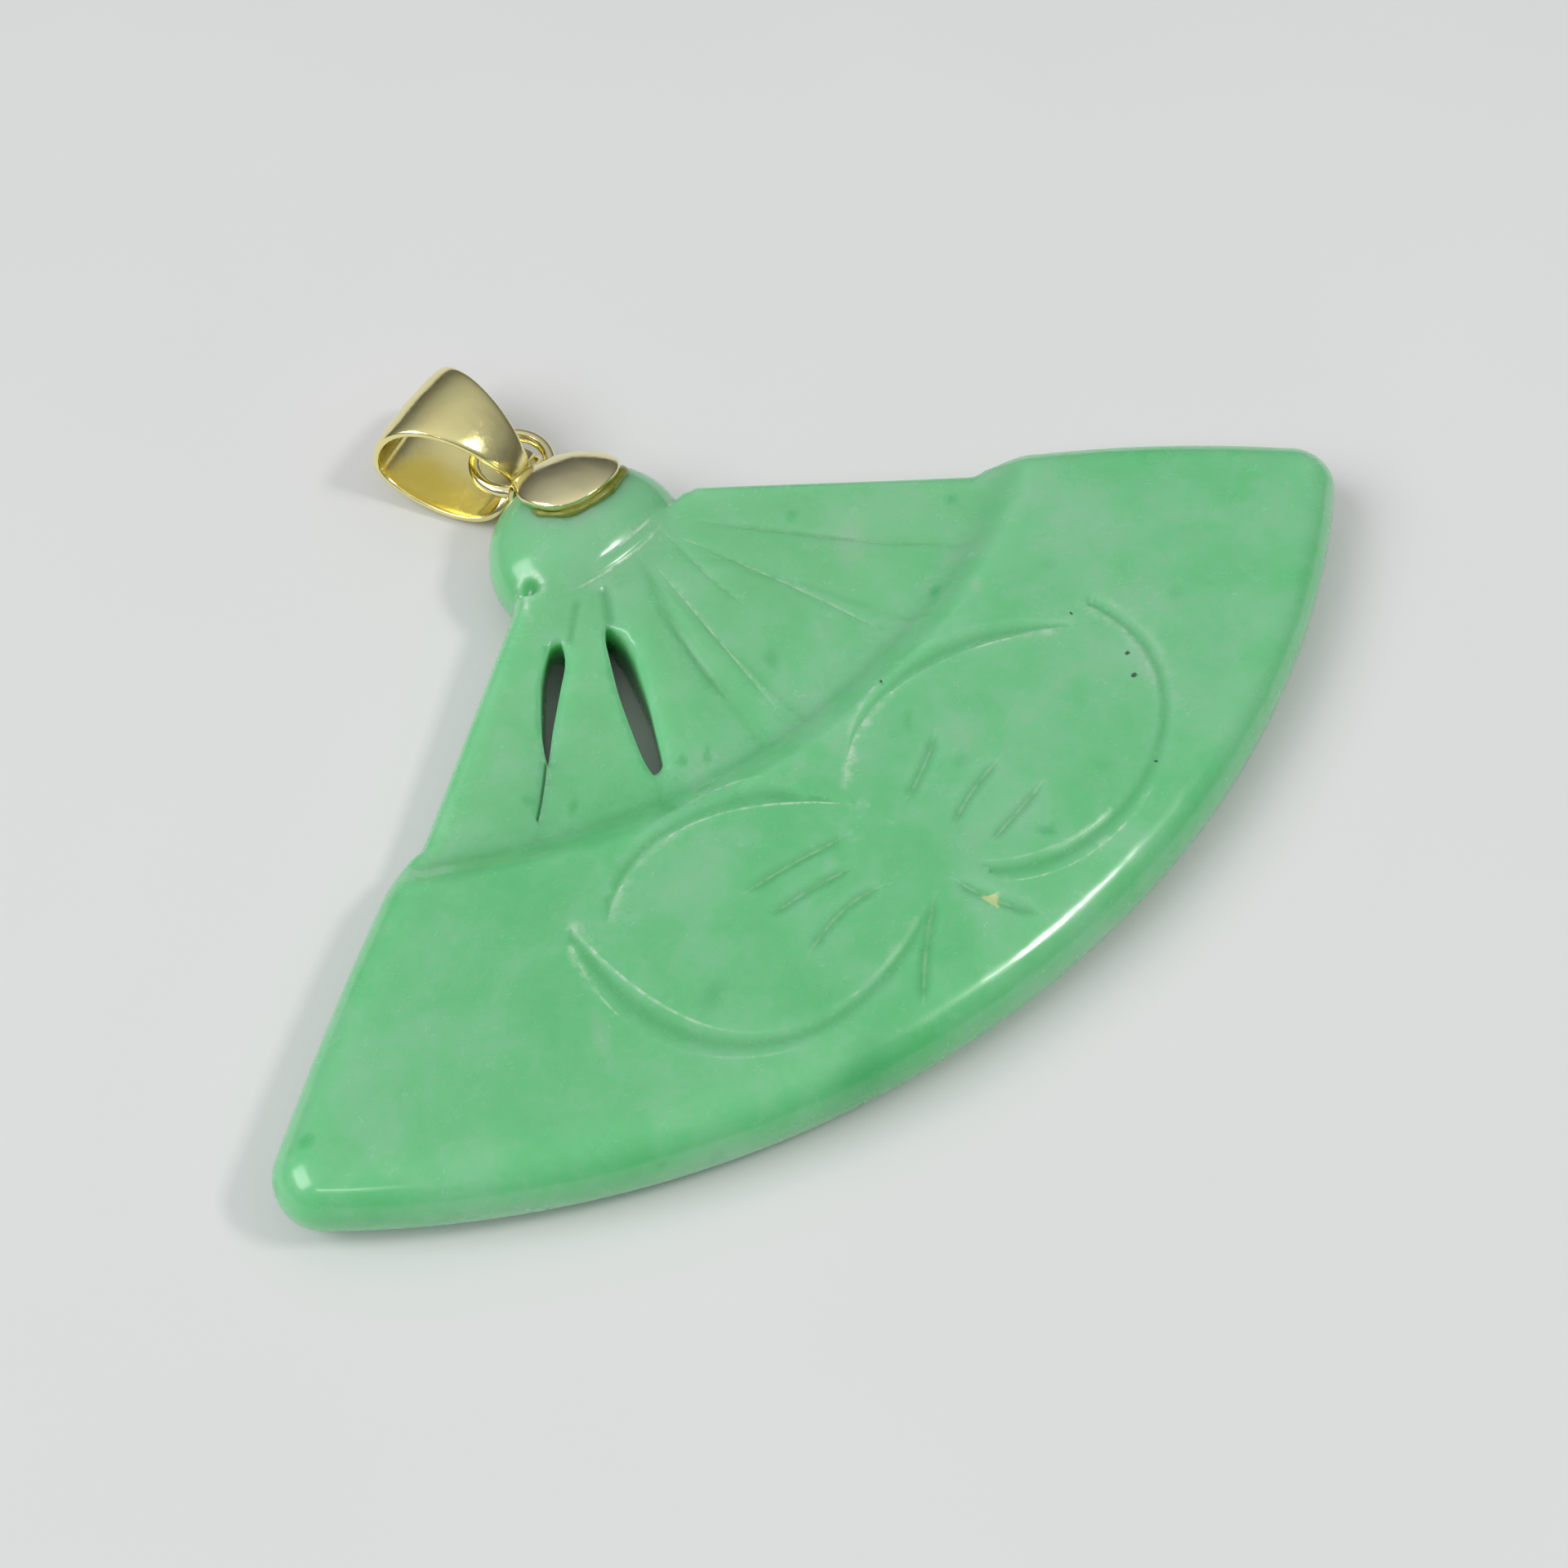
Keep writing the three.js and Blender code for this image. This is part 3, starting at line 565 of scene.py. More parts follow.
def fan_layer(outline, is_face):
    """The points of the face or the back, and its triangles; the outline and slots come first."""
    slots = FACE_SLOTS if is_face else BACK_SLOTS
    loops = [outline] + slots
    fixed = np.concatenate(loops)
    edges = []
    start = 0
    for loop in loops:
        edges += [(start + i, start + (i + 1) % len(loop)) for i in range(len(loop))]
        start += len(loop)
    normal = inward(outline)
    steps = RIM_STEPS
    rings = []
    for depth in steps:
        ring = outline + normal * depth
        true_depth, _ = distance_to_path(ring, outline, closed=True)
        rings.append(ring[true_depth > depth * 0.985])
    lips = [row for slot in slots for row in rows_beside(slot, (-0.06, -0.14, -0.24, -0.34), closed=True)]
    rings = np.concatenate(rings)
    clear = np.ones(len(rings), bool)
    for slot in slots:
        to_slot, _ = distance_to_path(rings, slot, closed=True)
        clear &= to_slot > 0.06
    rings = rings[clear]
    chosen = np.concatenate(lips + ([feature_rows()] if is_face else []))
    pitch = 0.26 if is_face else 0.5
    fill = hex_fill(LEAF.min(0), (LEAF[:, 0].max(), HEAD[1] + HEAD_RADIUS), pitch)
    if is_face:
        fine = hex_fill((-9.5, -19.2), (9.5, HEAD[1] + HEAD_RADIUS), 0.16)
        fill = np.concatenate([fine, fill])
    nearest, _ = distance_to_path(fill, outline, closed=True)
    fill = fill[is_inside(fill, outline) & (nearest > steps[-1] * 0.6)]
    held = np.concatenate([fixed, rings])
    spaced = thin_out(chosen, held, 0.045)
    filled = thin_out(fill, np.concatenate([held, spaced]), 0.12 if is_face else 0.3)
    extra = np.concatenate([rings, spaced, filled])
    inside = is_inside(extra, outline)
    for slot in slots:
        inside &= ~is_inside(extra, slot)
    points = np.concatenate([fixed, extra[inside]])
    result = delaunay_2d_cdt([Vector(point) for point in points], edges, [], 1, 1e-6)
    placed, triangles = result[0], result[2]
    originals = result[3]
    order = [source[0] if source else -1 for source in originals]
    if len(placed) != len(points) or order != list(range(len(points))):
        points = np.array([tuple(point) for point in placed])
    triangles = np.array([face for face in triangles if len(face) == 3])
    middle = points[triangles].mean(1)
    keep = is_inside(middle, outline)
    for slot in slots:
        keep &= ~is_inside(middle, slot)
    return points, triangles[keep], len(fixed), [len(loop) for loop in loops]


def carve_fan():
    outline = fan_outline(0.11)
    face, face_triangles, fixed, loops = fan_layer(outline, True)
    back, back_triangles, _, _ = fan_layer(outline, False)
    cut = carving(face)
    face_height = uncut_face(face, *filled_depths(face)) - cut - slot_lips(face, FACE_SLOTS)
    back_height = plain_back(back, *filled_depths(back)[1:]) + slot_lips(back, BACK_SLOTS)
    edge = loops[0]
    middle = (face_height[:edge] + back_height[:edge]) / 2
    face_height[:edge] = middle
    face_points = np.column_stack([face, face_height])
    back_points = np.column_stack([back, back_height])
    numbers = np.arange(len(back_points)) + len(face_points) - edge
    numbers[:edge] = np.arange(edge)
    points = np.concatenate([face_points, back_points[edge:]])
    triangles = [face_triangles, numbers[back_triangles][:, ::-1]]
    start = edge
    for length in loops[1:]:
        here = np.arange(start, start + length)
        after = np.roll(here, -1)
        triangles.append(np.stack([here, numbers[here], after], 1))
        triangles.append(np.stack([after, numbers[here], numbers[after]], 1))
        start += length
    behind = np.zeros(len(back_points) - edge)
    marks = dict(cut_depth=np.concatenate([cut, behind]), edge_wear=np.concatenate([wear(face), behind]))
    return points, np.concatenate(triangles), marks


def mesh_piece(name, points, faces, material):
    mesh = bpy.data.meshes.new(name)
    mesh.from_pydata([tuple(point) for point in in_part(points)], [], [tuple(int(i) for i in face) for face in faces])
    mesh.materials.append(material)
    mesh.polygons.foreach_set("use_smooth", [True] * len(mesh.polygons))
    mesh.update()
    piece = bpy.data.objects.new(name, mesh)
    bpy.context.scene.collection.objects.link(piece)
    return piece


# Node trees as expressions: a wire carries a socket, and sums on wires add the nodes
class Wire:
    def __init__(self, board, socket):
        self.board = board
        self.socket = socket

    def __add__(self, other):
        return self.board.math("ADD", self, other)

    def __radd__(self, other):
        return self.board.math("ADD", other, self)

    def __sub__(self, other):
        return self.board.math("SUBTRACT", self, other)

    def __rsub__(self, other):
        return self.board.math("SUBTRACT", other, self)

    def __mul__(self, other):
        return self.board.math("MULTIPLY", self, other)

    def __rmul__(self, other):
        return self.board.math("MULTIPLY", other, self)

    def __truediv__(self, other):
        return self.board.math("DIVIDE", self, other)

    def __rtruediv__(self, other):
        return self.board.math("DIVIDE", other, self)

    def __pow__(self, other):
        return self.board.math("POWER", self, other)

    def __neg__(self):
        return self.board.math("MULTIPLY", self, -1.0)


class Board:
    """A node tree to which nodes are added by type, settings and the values or wires of their sockets."""

    def __init__(self, tree):
        self.tree = tree

    def node(self, kind, settings=None, sockets=None, out=0):
        node = self.tree.nodes.new(kind)
        for name, value in (settings or {}).items():
            if name == "stops":
                self.set_stops(node.color_ramp, value)
            else:
                setattr(node, name, value)
        for name, value in (sockets or {}).items():
            socket = node.inputs[name]
            if isinstance(value, Wire):
                self.tree.links.new(value.socket, socket)
            else:
                socket.default_value = value
        return Wire(self, node.outputs[out]) if len(node.outputs) else None

    def set_stops(self, ramp, stops):
        while len(ramp.elements) < len(stops):
            ramp.elements.new(1.0)
        for element, (place, colour) in zip(ramp.elements, stops):
            element.position = place
            element.color = (*colour, 1.0) if len(colour) == 3 else colour

    def math(self, operation, *values):
        return self.node("ShaderNodeMath", {"operation": operation}, dict(enumerate(values)))

    def fit(self, value, low, high, to_low=0.0, to_high=1.0, smooth=True):
        settings = {"interpolation_type": "SMOOTHSTEP" if smooth else "LINEAR"}
        return self.node("ShaderNodeMapRange", settings, {0: value, 1: low, 2: high, 3: to_low, 4: to_high})

    def mix_colour(self, share, first, second, blend="MIX"):
        settings = {"data_type": "RGBA", "blend_type": blend}
        return self.node("ShaderNodeMix", settings, {0: share, 6: first, 7: second}, out=2)

    def vector(self, operation, *values, out=0, scale=None):
        sockets = dict(enumerate(values))
        if scale is not None:
            sockets["Scale"] = scale
        return self.node("ShaderNodeVectorMath", {"operation": operation}, sockets, out=out)


def new_material(name):
    material = bpy.data.materials.new(name)
    material.use_nodes = True
    material.node_tree.nodes.clear()
    board = Board(material.node_tree)
    place = board.node("ShaderNodeTexCoord", out=3)
    millimetres = board.vector("SCALE", place, scale=1 / MM)
    return material, board, millimetres


def finish_material(board, sockets):
    shader = board.node("ShaderNodeBsdfPrincipled", {}, sockets)
    board.node("ShaderNodeOutputMaterial", {}, {"Surface": shader})


def noise(board, place, scale, detail=2.0, roughness=0.5, distortion=0.0, out=0):
    return board.node("ShaderNodeTexNoise", {}, {
        "Vector": place, "Scale": scale, "Detail": detail, "Roughness": roughness, "Distortion": distortion}, out=out)


# Natural marks in the stone: place, reach across and along, turn in degrees, strength
GREEN_MARKS = (
    (1.13, -17.17, 0.5, 0.28, 60, 0.5), (-7.88, -25.21, 0.75, 0.45, 20, 0.45), (-3.23, -18.27, 0.3, 0.2, 35, 0.6),
    (-2.56, -18.58, 0.4, 0.16, 40, 0.5), (-6.67, -17.5, 0.45, 0.17, 40, 0.6), (-7.57, -16.55, 0.2, 0.35, 10, 0.5),
    (5.02, -13.57, 0.3, 0.3, 0, 0.6), (2.35, -21.9, 0.6, 0.2, 50, 0.4), (-6.0, -29.43, 1.7, 0.8, 12, 0.6),
    (-10.57, -28.96, 0.5, 0.5, 0, 0.7), (-3.1, -14.6, 0.4, 0.25, 60, 0.3),
)
PALE_MARKS = (
    (7.31, -19.47, 0.5, 0.25, 60, 0.5), (-10.9, -24.2, 0.3, 1.2, -25, 0.35), (0.33, -21.05, 0.7, 0.3, 30, 0.3),
    (-1.14, -20.93, 0.8, 0.3, 30, 0.3), (-2.7, -24.15, 0.5, 0.22, 30, 0.3), (5.76, -15.42, 1.3, 0.6, 45, 0.4),
    (-9.25, -21.0, 0.7, 0.35, 60, 0.3), (6.72, -23.81, 0.6, 0.4, 20, 0.3),
)
DARK_SPECKS = (
    (8.93, -24.32, 0.09), (8.54, -25.05, 0.08), (8.75, -22.18, 0.06), (2.67, -20.27, 0.07), (-7.94, -16.27, 0.05),
    (6.85, -27.57, 0.05),
)
# The cream fleck is a small triangle: a point on each side, and the way out of it
CREAM_SIDES = ((0.11, -27.71, 0.51, 0.86), (0.17, -28.06, 0.67, -0.74), (-0.10, -27.9, -0.985, -0.17))


def mark(board, place, spec, shift, soft=1.0):
    """A soft-edged oval on the face, 1 at its middle."""
    x, y, across, along, turn, strength = spec
    centre = (x + shift[0], y + shift[1], 0.0)
    moved = board.vector("SUBTRACT", place, centre)
    turned = board.node("ShaderNodeVectorRotate", {"rotation_type": "Z_AXIS"},
                        {"Vector": moved, "Angle": math.radians(-turn)})
    sized = board.vector("MULTIPLY", turned, (1 / across, 1 / along, 0.22))
    away = board.vector("LENGTH", sized, out=1)
    return board.fit(away, 0.15, 1.0 + 0.3 * soft, strength, 0.0)


def add_all(wires):
    total = wires[0]
    for wire in wires[1:]:
        total = total + wire
    return total


def jadeite():
    material, board, place = new_material("jadeite")
    warp = noise(board, place, 0.45, 3.0, 0.6, out=1)
    drift = board.vector("SCALE", board.vector("SUBTRACT", warp, (0.5, 0.5, 0.5)), scale=2.6)
    bent = board.vector("ADD", place, drift)
    fine_warp = board.vector("SCALE", board.vector("SUBTRACT", noise(board, place, 2.2, 3.0, 0.6, out=1),
                                                   (0.5, 0.5, 0.5)), scale=0.45)
    near = board.vector("ADD", place, fine_warp)
    clouds = noise(board, bent, 0.13, 4.0, 0.55)
    mottle = noise(board, bent, 0.55, 5.0, 0.62)
    grain = noise(board, place, 5.0, 4.0, 0.65)
    body = board.node("ShaderNodeValToRGB", {"stops": (
        (0.30, (0.125, 0.545, 0.205)), (0.46, (0.165, 0.590, 0.255)),
        (0.58, (0.215, 0.605, 0.300)), (0.74, (0.300, 0.600, 0.375)))}, {0: clouds * 0.62 + mottle * 0.38})
    milky = board.fit(mottle * 0.6 + grain * 0.4, 0.42, 0.72, 0.0, 0.35)
    body = board.mix_colour(milky, body, (0.33, 0.62, 0.40, 1))
    height = board.node("ShaderNodeSeparateXYZ", {}, {0: place}, out=1)
    towards_head = board.fit(height, -3.5 + SHIFT[1] - 15.8, 0.5 + SHIFT[1] - 15.8, 0.0, 0.28)
    body = board.mix_colour(towards_head, body, (0.29, 0.58, 0.33, 1))
    green = board.math("MINIMUM", add_all([mark(board, near, spec, SHIFT) for spec in GREEN_MARKS]), 1.0)
    body = board.mix_colour(green, body, (0.030, 0.400, 0.120, 1))
    pale = board.math("MINIMUM", add_all([mark(board, near, spec, SHIFT) for spec in PALE_MARKS]), 1.0)
    body = board.mix_colour(pale, body, (0.46, 0.60, 0.47, 1))
    cells = board.node("ShaderNodeTexVoronoi", {"feature": "F1"}, {"Vector": near, "Scale": 0.42, "Randomness": 1.0})
    rare = noise(board, place, 0.21, 1.0)
    flecks = board.fit(cells, 0.02, 0.16, 1.0, 0.0) * board.fit(rare, 0.52, 0.62, 0.0, 0.55)
    body = board.mix_colour(flecks, body, (0.040, 0.430, 0.140, 1))
    crystals = board.node("ShaderNodeTexVoronoi", {"feature": "F1"}, {"Vector": near, "Scale": 1.3})
    where = noise(board, place, 0.6, 2.0)
    sparkle = board.fit(crystals, 0.02, 0.1, 1.0, 0.0) * board.fit(where, 0.55, 0.66, 0.0, 0.05)
    body = board.mix_colour(sparkle, body, (0.62, 0.78, 0.62, 1))
    # Painted shade: the cuts, the dimple and the saw line are coloured a darker green the deeper they are cut; the
    # same value also makes the cut surfaces rougher.
    depth = board.node("ShaderNodeAttribute", {"attribute_name": "cut_depth"}, {}, out=2)
    cut_shade_and_tooling = board.fit(depth, 0.005, 0.11, 0.0, 1.0)
    body = board.mix_colour(cut_shade_and_tooling * 0.5, body, (0.085, 0.470, 0.170, 1))
    # Painted highlight and wear: edges of the gouges, knife lines, neck lines and the dimple are mixed towards pale
    # green, partly whitening from wear and partly painted highlight; the same value also roughens them.
    whitening_and_highlight = board.node("ShaderNodeAttribute", {"attribute_name": "edge_wear"}, {}, out=2)
    breaks = board.fit(noise(board, place, 3.2, 3.0, 0.6), 0.40, 0.60, 0.25, 1.0)
    wear_and_highlight = board.math("MINIMUM", whitening_and_highlight * breaks * 1.25, 1.0)
    body = board.mix_colour(wear_and_highlight * 0.85, body, (0.66, 0.80, 0.62, 1))
    specks = []
    for x, y, size in DARK_SPECKS:
        moved = board.vector("SUBTRACT", near, (x + SHIFT[0], y + SHIFT[1], 2.6))
        away = board.vector("LENGTH", board.vector("MULTIPLY", moved, (1, 1, 0.3)), out=1)
        specks.append(board.fit(away, size * 0.6, size * 1.2, 0.9, 0.0))
    body = board.mix_colour(board.math("MINIMUM", add_all(specks), 1.0), body, (0.02, 0.05, 0.03, 1))
    inside = 1.0
    for side_x, side_y, outward_x, outward_y in CREAM_SIDES:
        moved = board.vector("SUBTRACT", near, (side_x + SHIFT[0], side_y + SHIFT[1], 0))
        outward = board.vector("DOT_PRODUCT", moved, (outward_x, outward_y, 0), out=1)
        inside = inside * board.fit(outward, -0.07, 0.02, 1.0, 0.0)
    on_face = board.fit(board.node("ShaderNodeSeparateXYZ", {}, {0: place}, out=2), 2.0, 2.3)
    body = board.mix_colour(inside * on_face * 0.95, body, (0.64, 0.74, 0.36, 1))
    polish = noise(board, place, 0.9, 4.0, 0.6)
    scratches = noise(board, board.vector("MULTIPLY", near, (3.0, 5.0, 3.0)), 1.2, 3.0, 0.7)
    roughness = board.fit(polish, 0.3, 0.75, 0.17, 0.30) + board.fit(scratches, 0.55, 0.75, 0.0, 0.05)
    roughness = roughness + cut_shade_and_tooling * 0.08 + wear_and_highlight * 0.15
    peel = noise(board, place, 1.6, 3.0, 0.5)
    pores = noise(board, place, 14.0, 3.0, 0.6)
    relief = peel * 0.6 + pores * 0.10 + scratches * 0.03
    bump = board.node("ShaderNodeBump", {}, {"Strength": 0.35, "Distance": 0.00003, "Height": relief})
    finish_material(board, {
        "Base Color": body, "Roughness": roughness, "Normal": bump, "IOR": 1.62,
        "Subsurface Weight": 1.0, "Subsurface Radius": (0.45, 1.0, 0.6), "Subsurface Scale": 0.0022,
        "Subsurface Anisotropy": 0.2, "Coat Weight": 0.25, "Coat Roughness": 0.08, "Coat IOR": 1.5,
    })
    return material


def gold(name, colour, polish_range, brushed=0.0):
    material, board, place = new_material(name)
    tone = noise(board, place, 0.8, 3.0, 0.6)
    tarnish = noise(board, place, 2.5, 5.0, 0.7)
    redder = (colour[0] * 0.93, colour[1] * 0.88, colour[2] * 0.78, 1)
    body = board.mix_colour(board.fit(tone, 0.3, 0.7, 0.0, 0.35), (*colour, 1), redder)
    body = board.mix_colour(board.fit(tarnish, 0.58, 0.8, 0.0, 0.25), body, (0.70, 0.58, 0.28, 1))
    wear = noise(board, board.vector("MULTIPLY", place, (14.0, 1.6, 9.0)), 1.4, 4.0, 0.7)
    roughness = board.fit(tarnish, 0.3, 0.75, polish_range[0], polish_range[1]) + board.fit(wear, 0.5, 0.8, 0.0, 0.10)
    dents = noise(board, place, 1.1, 3.0, 0.5)
    relief = dents * 0.8 + wear * (0.10 + brushed) + noise(board, place, 30.0, 2.0) * 0.05
    bump = board.node("ShaderNodeBump", {}, {"Strength": 0.4, "Distance": 0.00004, "Height": relief})
    finish_material(board, {"Base Color": body, "Metallic": 1.0, "Roughness": roughness, "Normal": bump})
    return material


# Painted shade and glue: a dark olive colour for the bead under the cap's rim, partly real glue and partly the shade
# the rim casts.
def make_glue_and_rim_shade():
    material, board, place = new_material("glue_and_rim_shade")
    lumps = noise(board, place, 3.0, 4.0, 0.6)
    body = board.mix_colour(board.fit(lumps, 0.3, 0.7), (0.16, 0.20, 0.01, 1), (0.27, 0.30, 0.04, 1))
    bump = board.node("ShaderNodeBump", {}, {"Strength": 0.4, "Distance": 0.00004, "Height": lumps})
    finish_material(board, {"Base Color": body, "Roughness": board.fit(lumps, 0.3, 0.7, 0.25, 0.45), "Normal": bump,
                            "Subsurface Weight": 0.3, "Subsurface Scale": 0.0004, "Coat Weight": 0.4})
    return material


# Shapes that follow a rule, grown from a flat sheet of quads by a Geometry Nodes tree
def grown_sheet(name, across, along, rule, material, wrap):
    """A sheet whose corner (u, v) goes where the rule says, with its seams merged."""
    tree = bpy.data.node_groups.new(name, "GeometryNodeTree")
    tree.interface.new_socket("Geometry", in_out="OUTPUT", socket_type="NodeSocketGeometry")
    for label, value in rule["sizes"].items():
        socket = tree.interface.new_socket(label, in_out="INPUT", socket_type="NodeSocketFloat")
        socket.default_value = value
    board = Board(tree)
    given = tree.nodes.new("NodeGroupInput")
    sizes = {label: Wire(board, given.outputs[label]) for label in rule["sizes"]}
    sheet = board.node("GeometryNodeMeshGrid", {}, {
        "Size X": 1.0, "Size Y": 1.0, "Vertices X": along + 1, "Vertices Y": across + 1})
    position = board.node("GeometryNodeInputPosition")
    split = board.tree.nodes.new("ShaderNodeSeparateXYZ")
    board.tree.links.new(position.socket, split.inputs[0])
    u = Wire(board, split.outputs[0]) + 0.5
    v = Wire(board, split.outputs[1]) + 0.5
    x, y, z = rule["place"](board, u, v, sizes)
    place = board.node("ShaderNodeCombineXYZ", {}, {0: x, 1: y, 2: z})
    moved = board.node("GeometryNodeSetPosition", {}, {"Geometry": sheet, "Position": place})
    merged = board.node("GeometryNodeMergeByDistance", {}, {"Geometry": moved, "Distance": wrap})
    smooth = board.node("GeometryNodeSetShadeSmooth", {}, {"Geometry": merged})
    real = board.node("GeometryNodeRealizeInstances", {}, {"Geometry": smooth})
    dressed = board.node("GeometryNodeSetMaterial", {}, {"Geometry": real, "Material": material})
    board.node("NodeGroupOutput", {}, {"Geometry": dressed})
    mesh = bpy.data.meshes.new(name)
    piece = bpy.data.objects.new(name, mesh)
    bpy.context.scene.collection.objects.link(piece)
    modifier = piece.modifiers.new(name, "NODES")
    modifier.node_group = tree
    for item in tree.interface.items_tree:
        if item.item_type == "SOCKET" and item.in_out == "INPUT" and item.name in rule["sizes"]:
            modifier[item.identifier] = rule["sizes"][item.name]
    return settle(piece, modifier)


def settle(piece, modifier):
    """Turns the tree's result into the piece's own plain mesh, in place in the part's frame."""
    bpy.context.view_layer.update()
    evaluated = piece.evaluated_get(bpy.context.evaluated_depsgraph_get())
    mesh = bpy.data.meshes.new_from_object(evaluated)
    piece.modifiers.remove(modifier)
    piece.data = mesh
    return piece


BAIL = {
    "length": 4.25, "front depth": 1.99, "front taper": 1.4, "front pinch": 0.48,
    "back depth": 1.06, "back taper": 0.3, "back pinch": -0.25,
    "tip width": 0.84, "width": 3.96, "widest at": 0.57, "thickness": 0.28, "crown": 0.14, "roundness": 0.42,
}
BAIL_TIP = (0.04, -6.0, 1.35)
BAIL_YAW = 0.37
BAIL_PITCH = 0.05


def bail_line(board, u, s):
    """Where the strip's middle line runs in its side view: along and up."""
    turn = u * (2 * math.pi)
    is_front = board.math("LESS_THAN", u, 0.5)
    depth = s["back depth"] + (s["front depth"] - s["back depth"]) * is_front
    pinch = s["back pinch"] + (s["front pinch"] - s["back pinch"]) * is_front
    half_sine = board.math("MAXIMUM", board.math("ABSOLUTE", board.math("SINE", turn * 0.5)), 0.02)
    along = (1 - board.math("COSINE", turn)) * s["length"] * 0.5
    up = board.math("SINE", turn) * depth * half_sine ** pinch
    return along, up


def bail_place(board, u, v, s):
    along, up = bail_line(board, u, s)
    after_along, after_up = bail_line(board, u + 0.002, s)
    before_along, before_up = bail_line(board, u - 0.002, s)
    run_along, run_up = after_along - before_along, after_up - before_up
    run = board.math("SQRT", run_along * run_along + run_up * run_up)
    out_along, out_up = -(run_up / run), run_along / run
    widening = board.math("LESS_THAN", u, s["widest at"])
    share = (u / s["widest at"]) * widening + ((1 - u) / (1 - s["widest at"])) * (1 - widening)
    share = board.math("MAXIMUM", board.math("MINIMUM", share, 1.0), 0.0)
    taper = s["back taper"] + (s["front taper"] - s["back taper"]) * widening
    fullness = board.math("SINE", share * (math.pi / 2)) ** taper
    half_width = (s["tip width"] + (s["width"] - s["tip width"]) * fullness) * 0.5
    round_turn = v * (2 * math.pi)
    cosine, sine = board.math("COSINE", round_turn), board.math("SINE", round_turn)
    side = board.math("SIGN", cosine) * board.math("ABSOLUTE", cosine) ** 0.22
    face = board.math("SIGN", sine) * board.math("ABSOLUTE", sine) ** s["roundness"]
    lift = face * s["thickness"] * 0.5 + s["crown"] * (1 - side * side) * (half_width / (s["width"] * 0.5))
    x = side * half_width
    y = along + out_along * lift
    z = up + out_up * lift
    y, z = y * math.cos(BAIL_PITCH) - z * math.sin(BAIL_PITCH), y * math.sin(BAIL_PITCH) + z * math.cos(BAIL_PITCH)
    x, y = x * math.cos(BAIL_YAW) - y * math.sin(BAIL_YAW), x * math.sin(BAIL_YAW) + y * math.cos(BAIL_YAW)
    tip = in_part(BAIL_TIP)
    return x * MM + float(tip[0]), y * MM + float(tip[1]), z * MM + float(tip[2])


RING = {"radius": 1.2, "wire": 0.21}
RING_CENTRE = (0.12, -5.46, 1.38)


def ring_place(board, u, v, s):
    turn, roll = u * (2 * math.pi), v * (2 * math.pi)
    reach = s["radius"] + s["wire"] * board.math("COSINE", roll)
    centre = in_part(RING_CENTRE)
    x = reach * board.math("COSINE", turn) * MM + float(centre[0])
    y = reach * board.math("SINE", turn) * MM + float(centre[1])
    z = s["wire"] * board.math("SINE", roll) * MM + float(centre[2])
    return x, y, z


# The cap: an oval of sheet gold bent over the head's top edge, with one lobe on its face and one on its back
CAP = dict(x=0.25, y=-7.65, turn=0.12, half_width=1.68, widest=-0.3, tip=-2.02, bend=1.05, bend_width=1.12)
SEAT_GAP = 0.08
CAP_THICKNESS = 0.3
CAP_CROWN = 0.12


def pebble_height(reach, growth, is_front):
    share = min(reach / (HEAD_RADIUS + growth), 1)
    rise = (1 - share ** HEAD_FULLNESS) ** (1 / HEAD_FULLNESS)
    if is_front:
        return HEAD_MIDDLE + rise * (HEAD_TOP + growth - HEAD_MIDDLE)
    return HEAD_MIDDLE - rise * (HEAD_MIDDLE - HEAD_BACK + growth)


def cap_half_width(along):
    """Half the cap's width at a place along it: a round end, then a gentle narrowing to the bend."""
    if along < CAP["widest"]:
        share = (CAP["widest"] - along) / (CAP["widest"] - CAP["tip"])
        return CAP["half_width"] * max(1 - share ** 2.4, 0) ** (1 / 2.4)
    share = (along - CAP["widest"]) / (CAP["bend"] - CAP["widest"])
    return CAP["bend_width"] + (CAP["half_width"] - CAP["bend_width"]) * (0.5 + 0.5 * math.cos(math.pi * share))


def cap_plan(across, along):
    cosine, sine = math.cos(CAP["turn"]), math.sin(CAP["turn"])
    return (CAP["x"] + across * cosine - along * sine, CAP["y"] + across * sine + along * cosine)


def cap_point(path, across_share, growth):
    """A point of the cap: path runs from -1 at the front lobe's tip, over the bend at 0, to 1 at the back."""
    towards_bend = 0.5 + 0.5 * math.cos(math.pi * abs(path))
    drawn = CAP["tip"] + (CAP["bend"] - CAP["tip"]) * towards_bend
    across = across_share * cap_half_width(drawn)
    cosine, sine = math.cos(CAP["turn"]), math.sin(CAP["turn"])
    shift = (CAP["x"] - HEAD[0], CAP["y"] - HEAD[1])
    side = across + shift[0] * cosine + shift[1] * sine
    ahead = -shift[0] * sine + shift[1] * cosine
    edge = -ahead + math.sqrt((HEAD_RADIUS + growth) ** 2 - side ** 2)
    along = CAP["tip"] + (edge - CAP["tip"]) * towards_bend
    x, y = cap_plan(across, along)
    reach = math.hypot(x - HEAD[0], y - HEAD[1])
    return (x, y, pebble_height(reach, growth, path < 0))


def cap_shell(material, rows=120, ring=64):
    points, faces = [], []
    for row in range(rows + 1):
        path = -1 + 2 * row / rows
        for step in range(ring):
            turn = 2 * math.pi * (step + 0.5) / ring
            across = math.copysign(abs(math.cos(turn)) ** 0.4, math.cos(turn))
            through = math.copysign(abs(math.sin(turn)) ** 0.3, math.sin(turn))
            crown = CAP_CROWN * (1 - across ** 2) * math.sin(math.pi * abs(path)) if through > 0 else 0
            growth = SEAT_GAP + CAP_THICKNESS * (0.5 + 0.5 * through) + crown
            points.append(cap_point(path, across, growth))
    for row in range(rows):
        for step in range(ring):
            a, b = row * ring + step, row * ring + (step + 1) % ring
            faces.append((a, b, b + ring, a + ring))
    return mesh_piece("gold_cap_shell", np.array(points), faces, material)
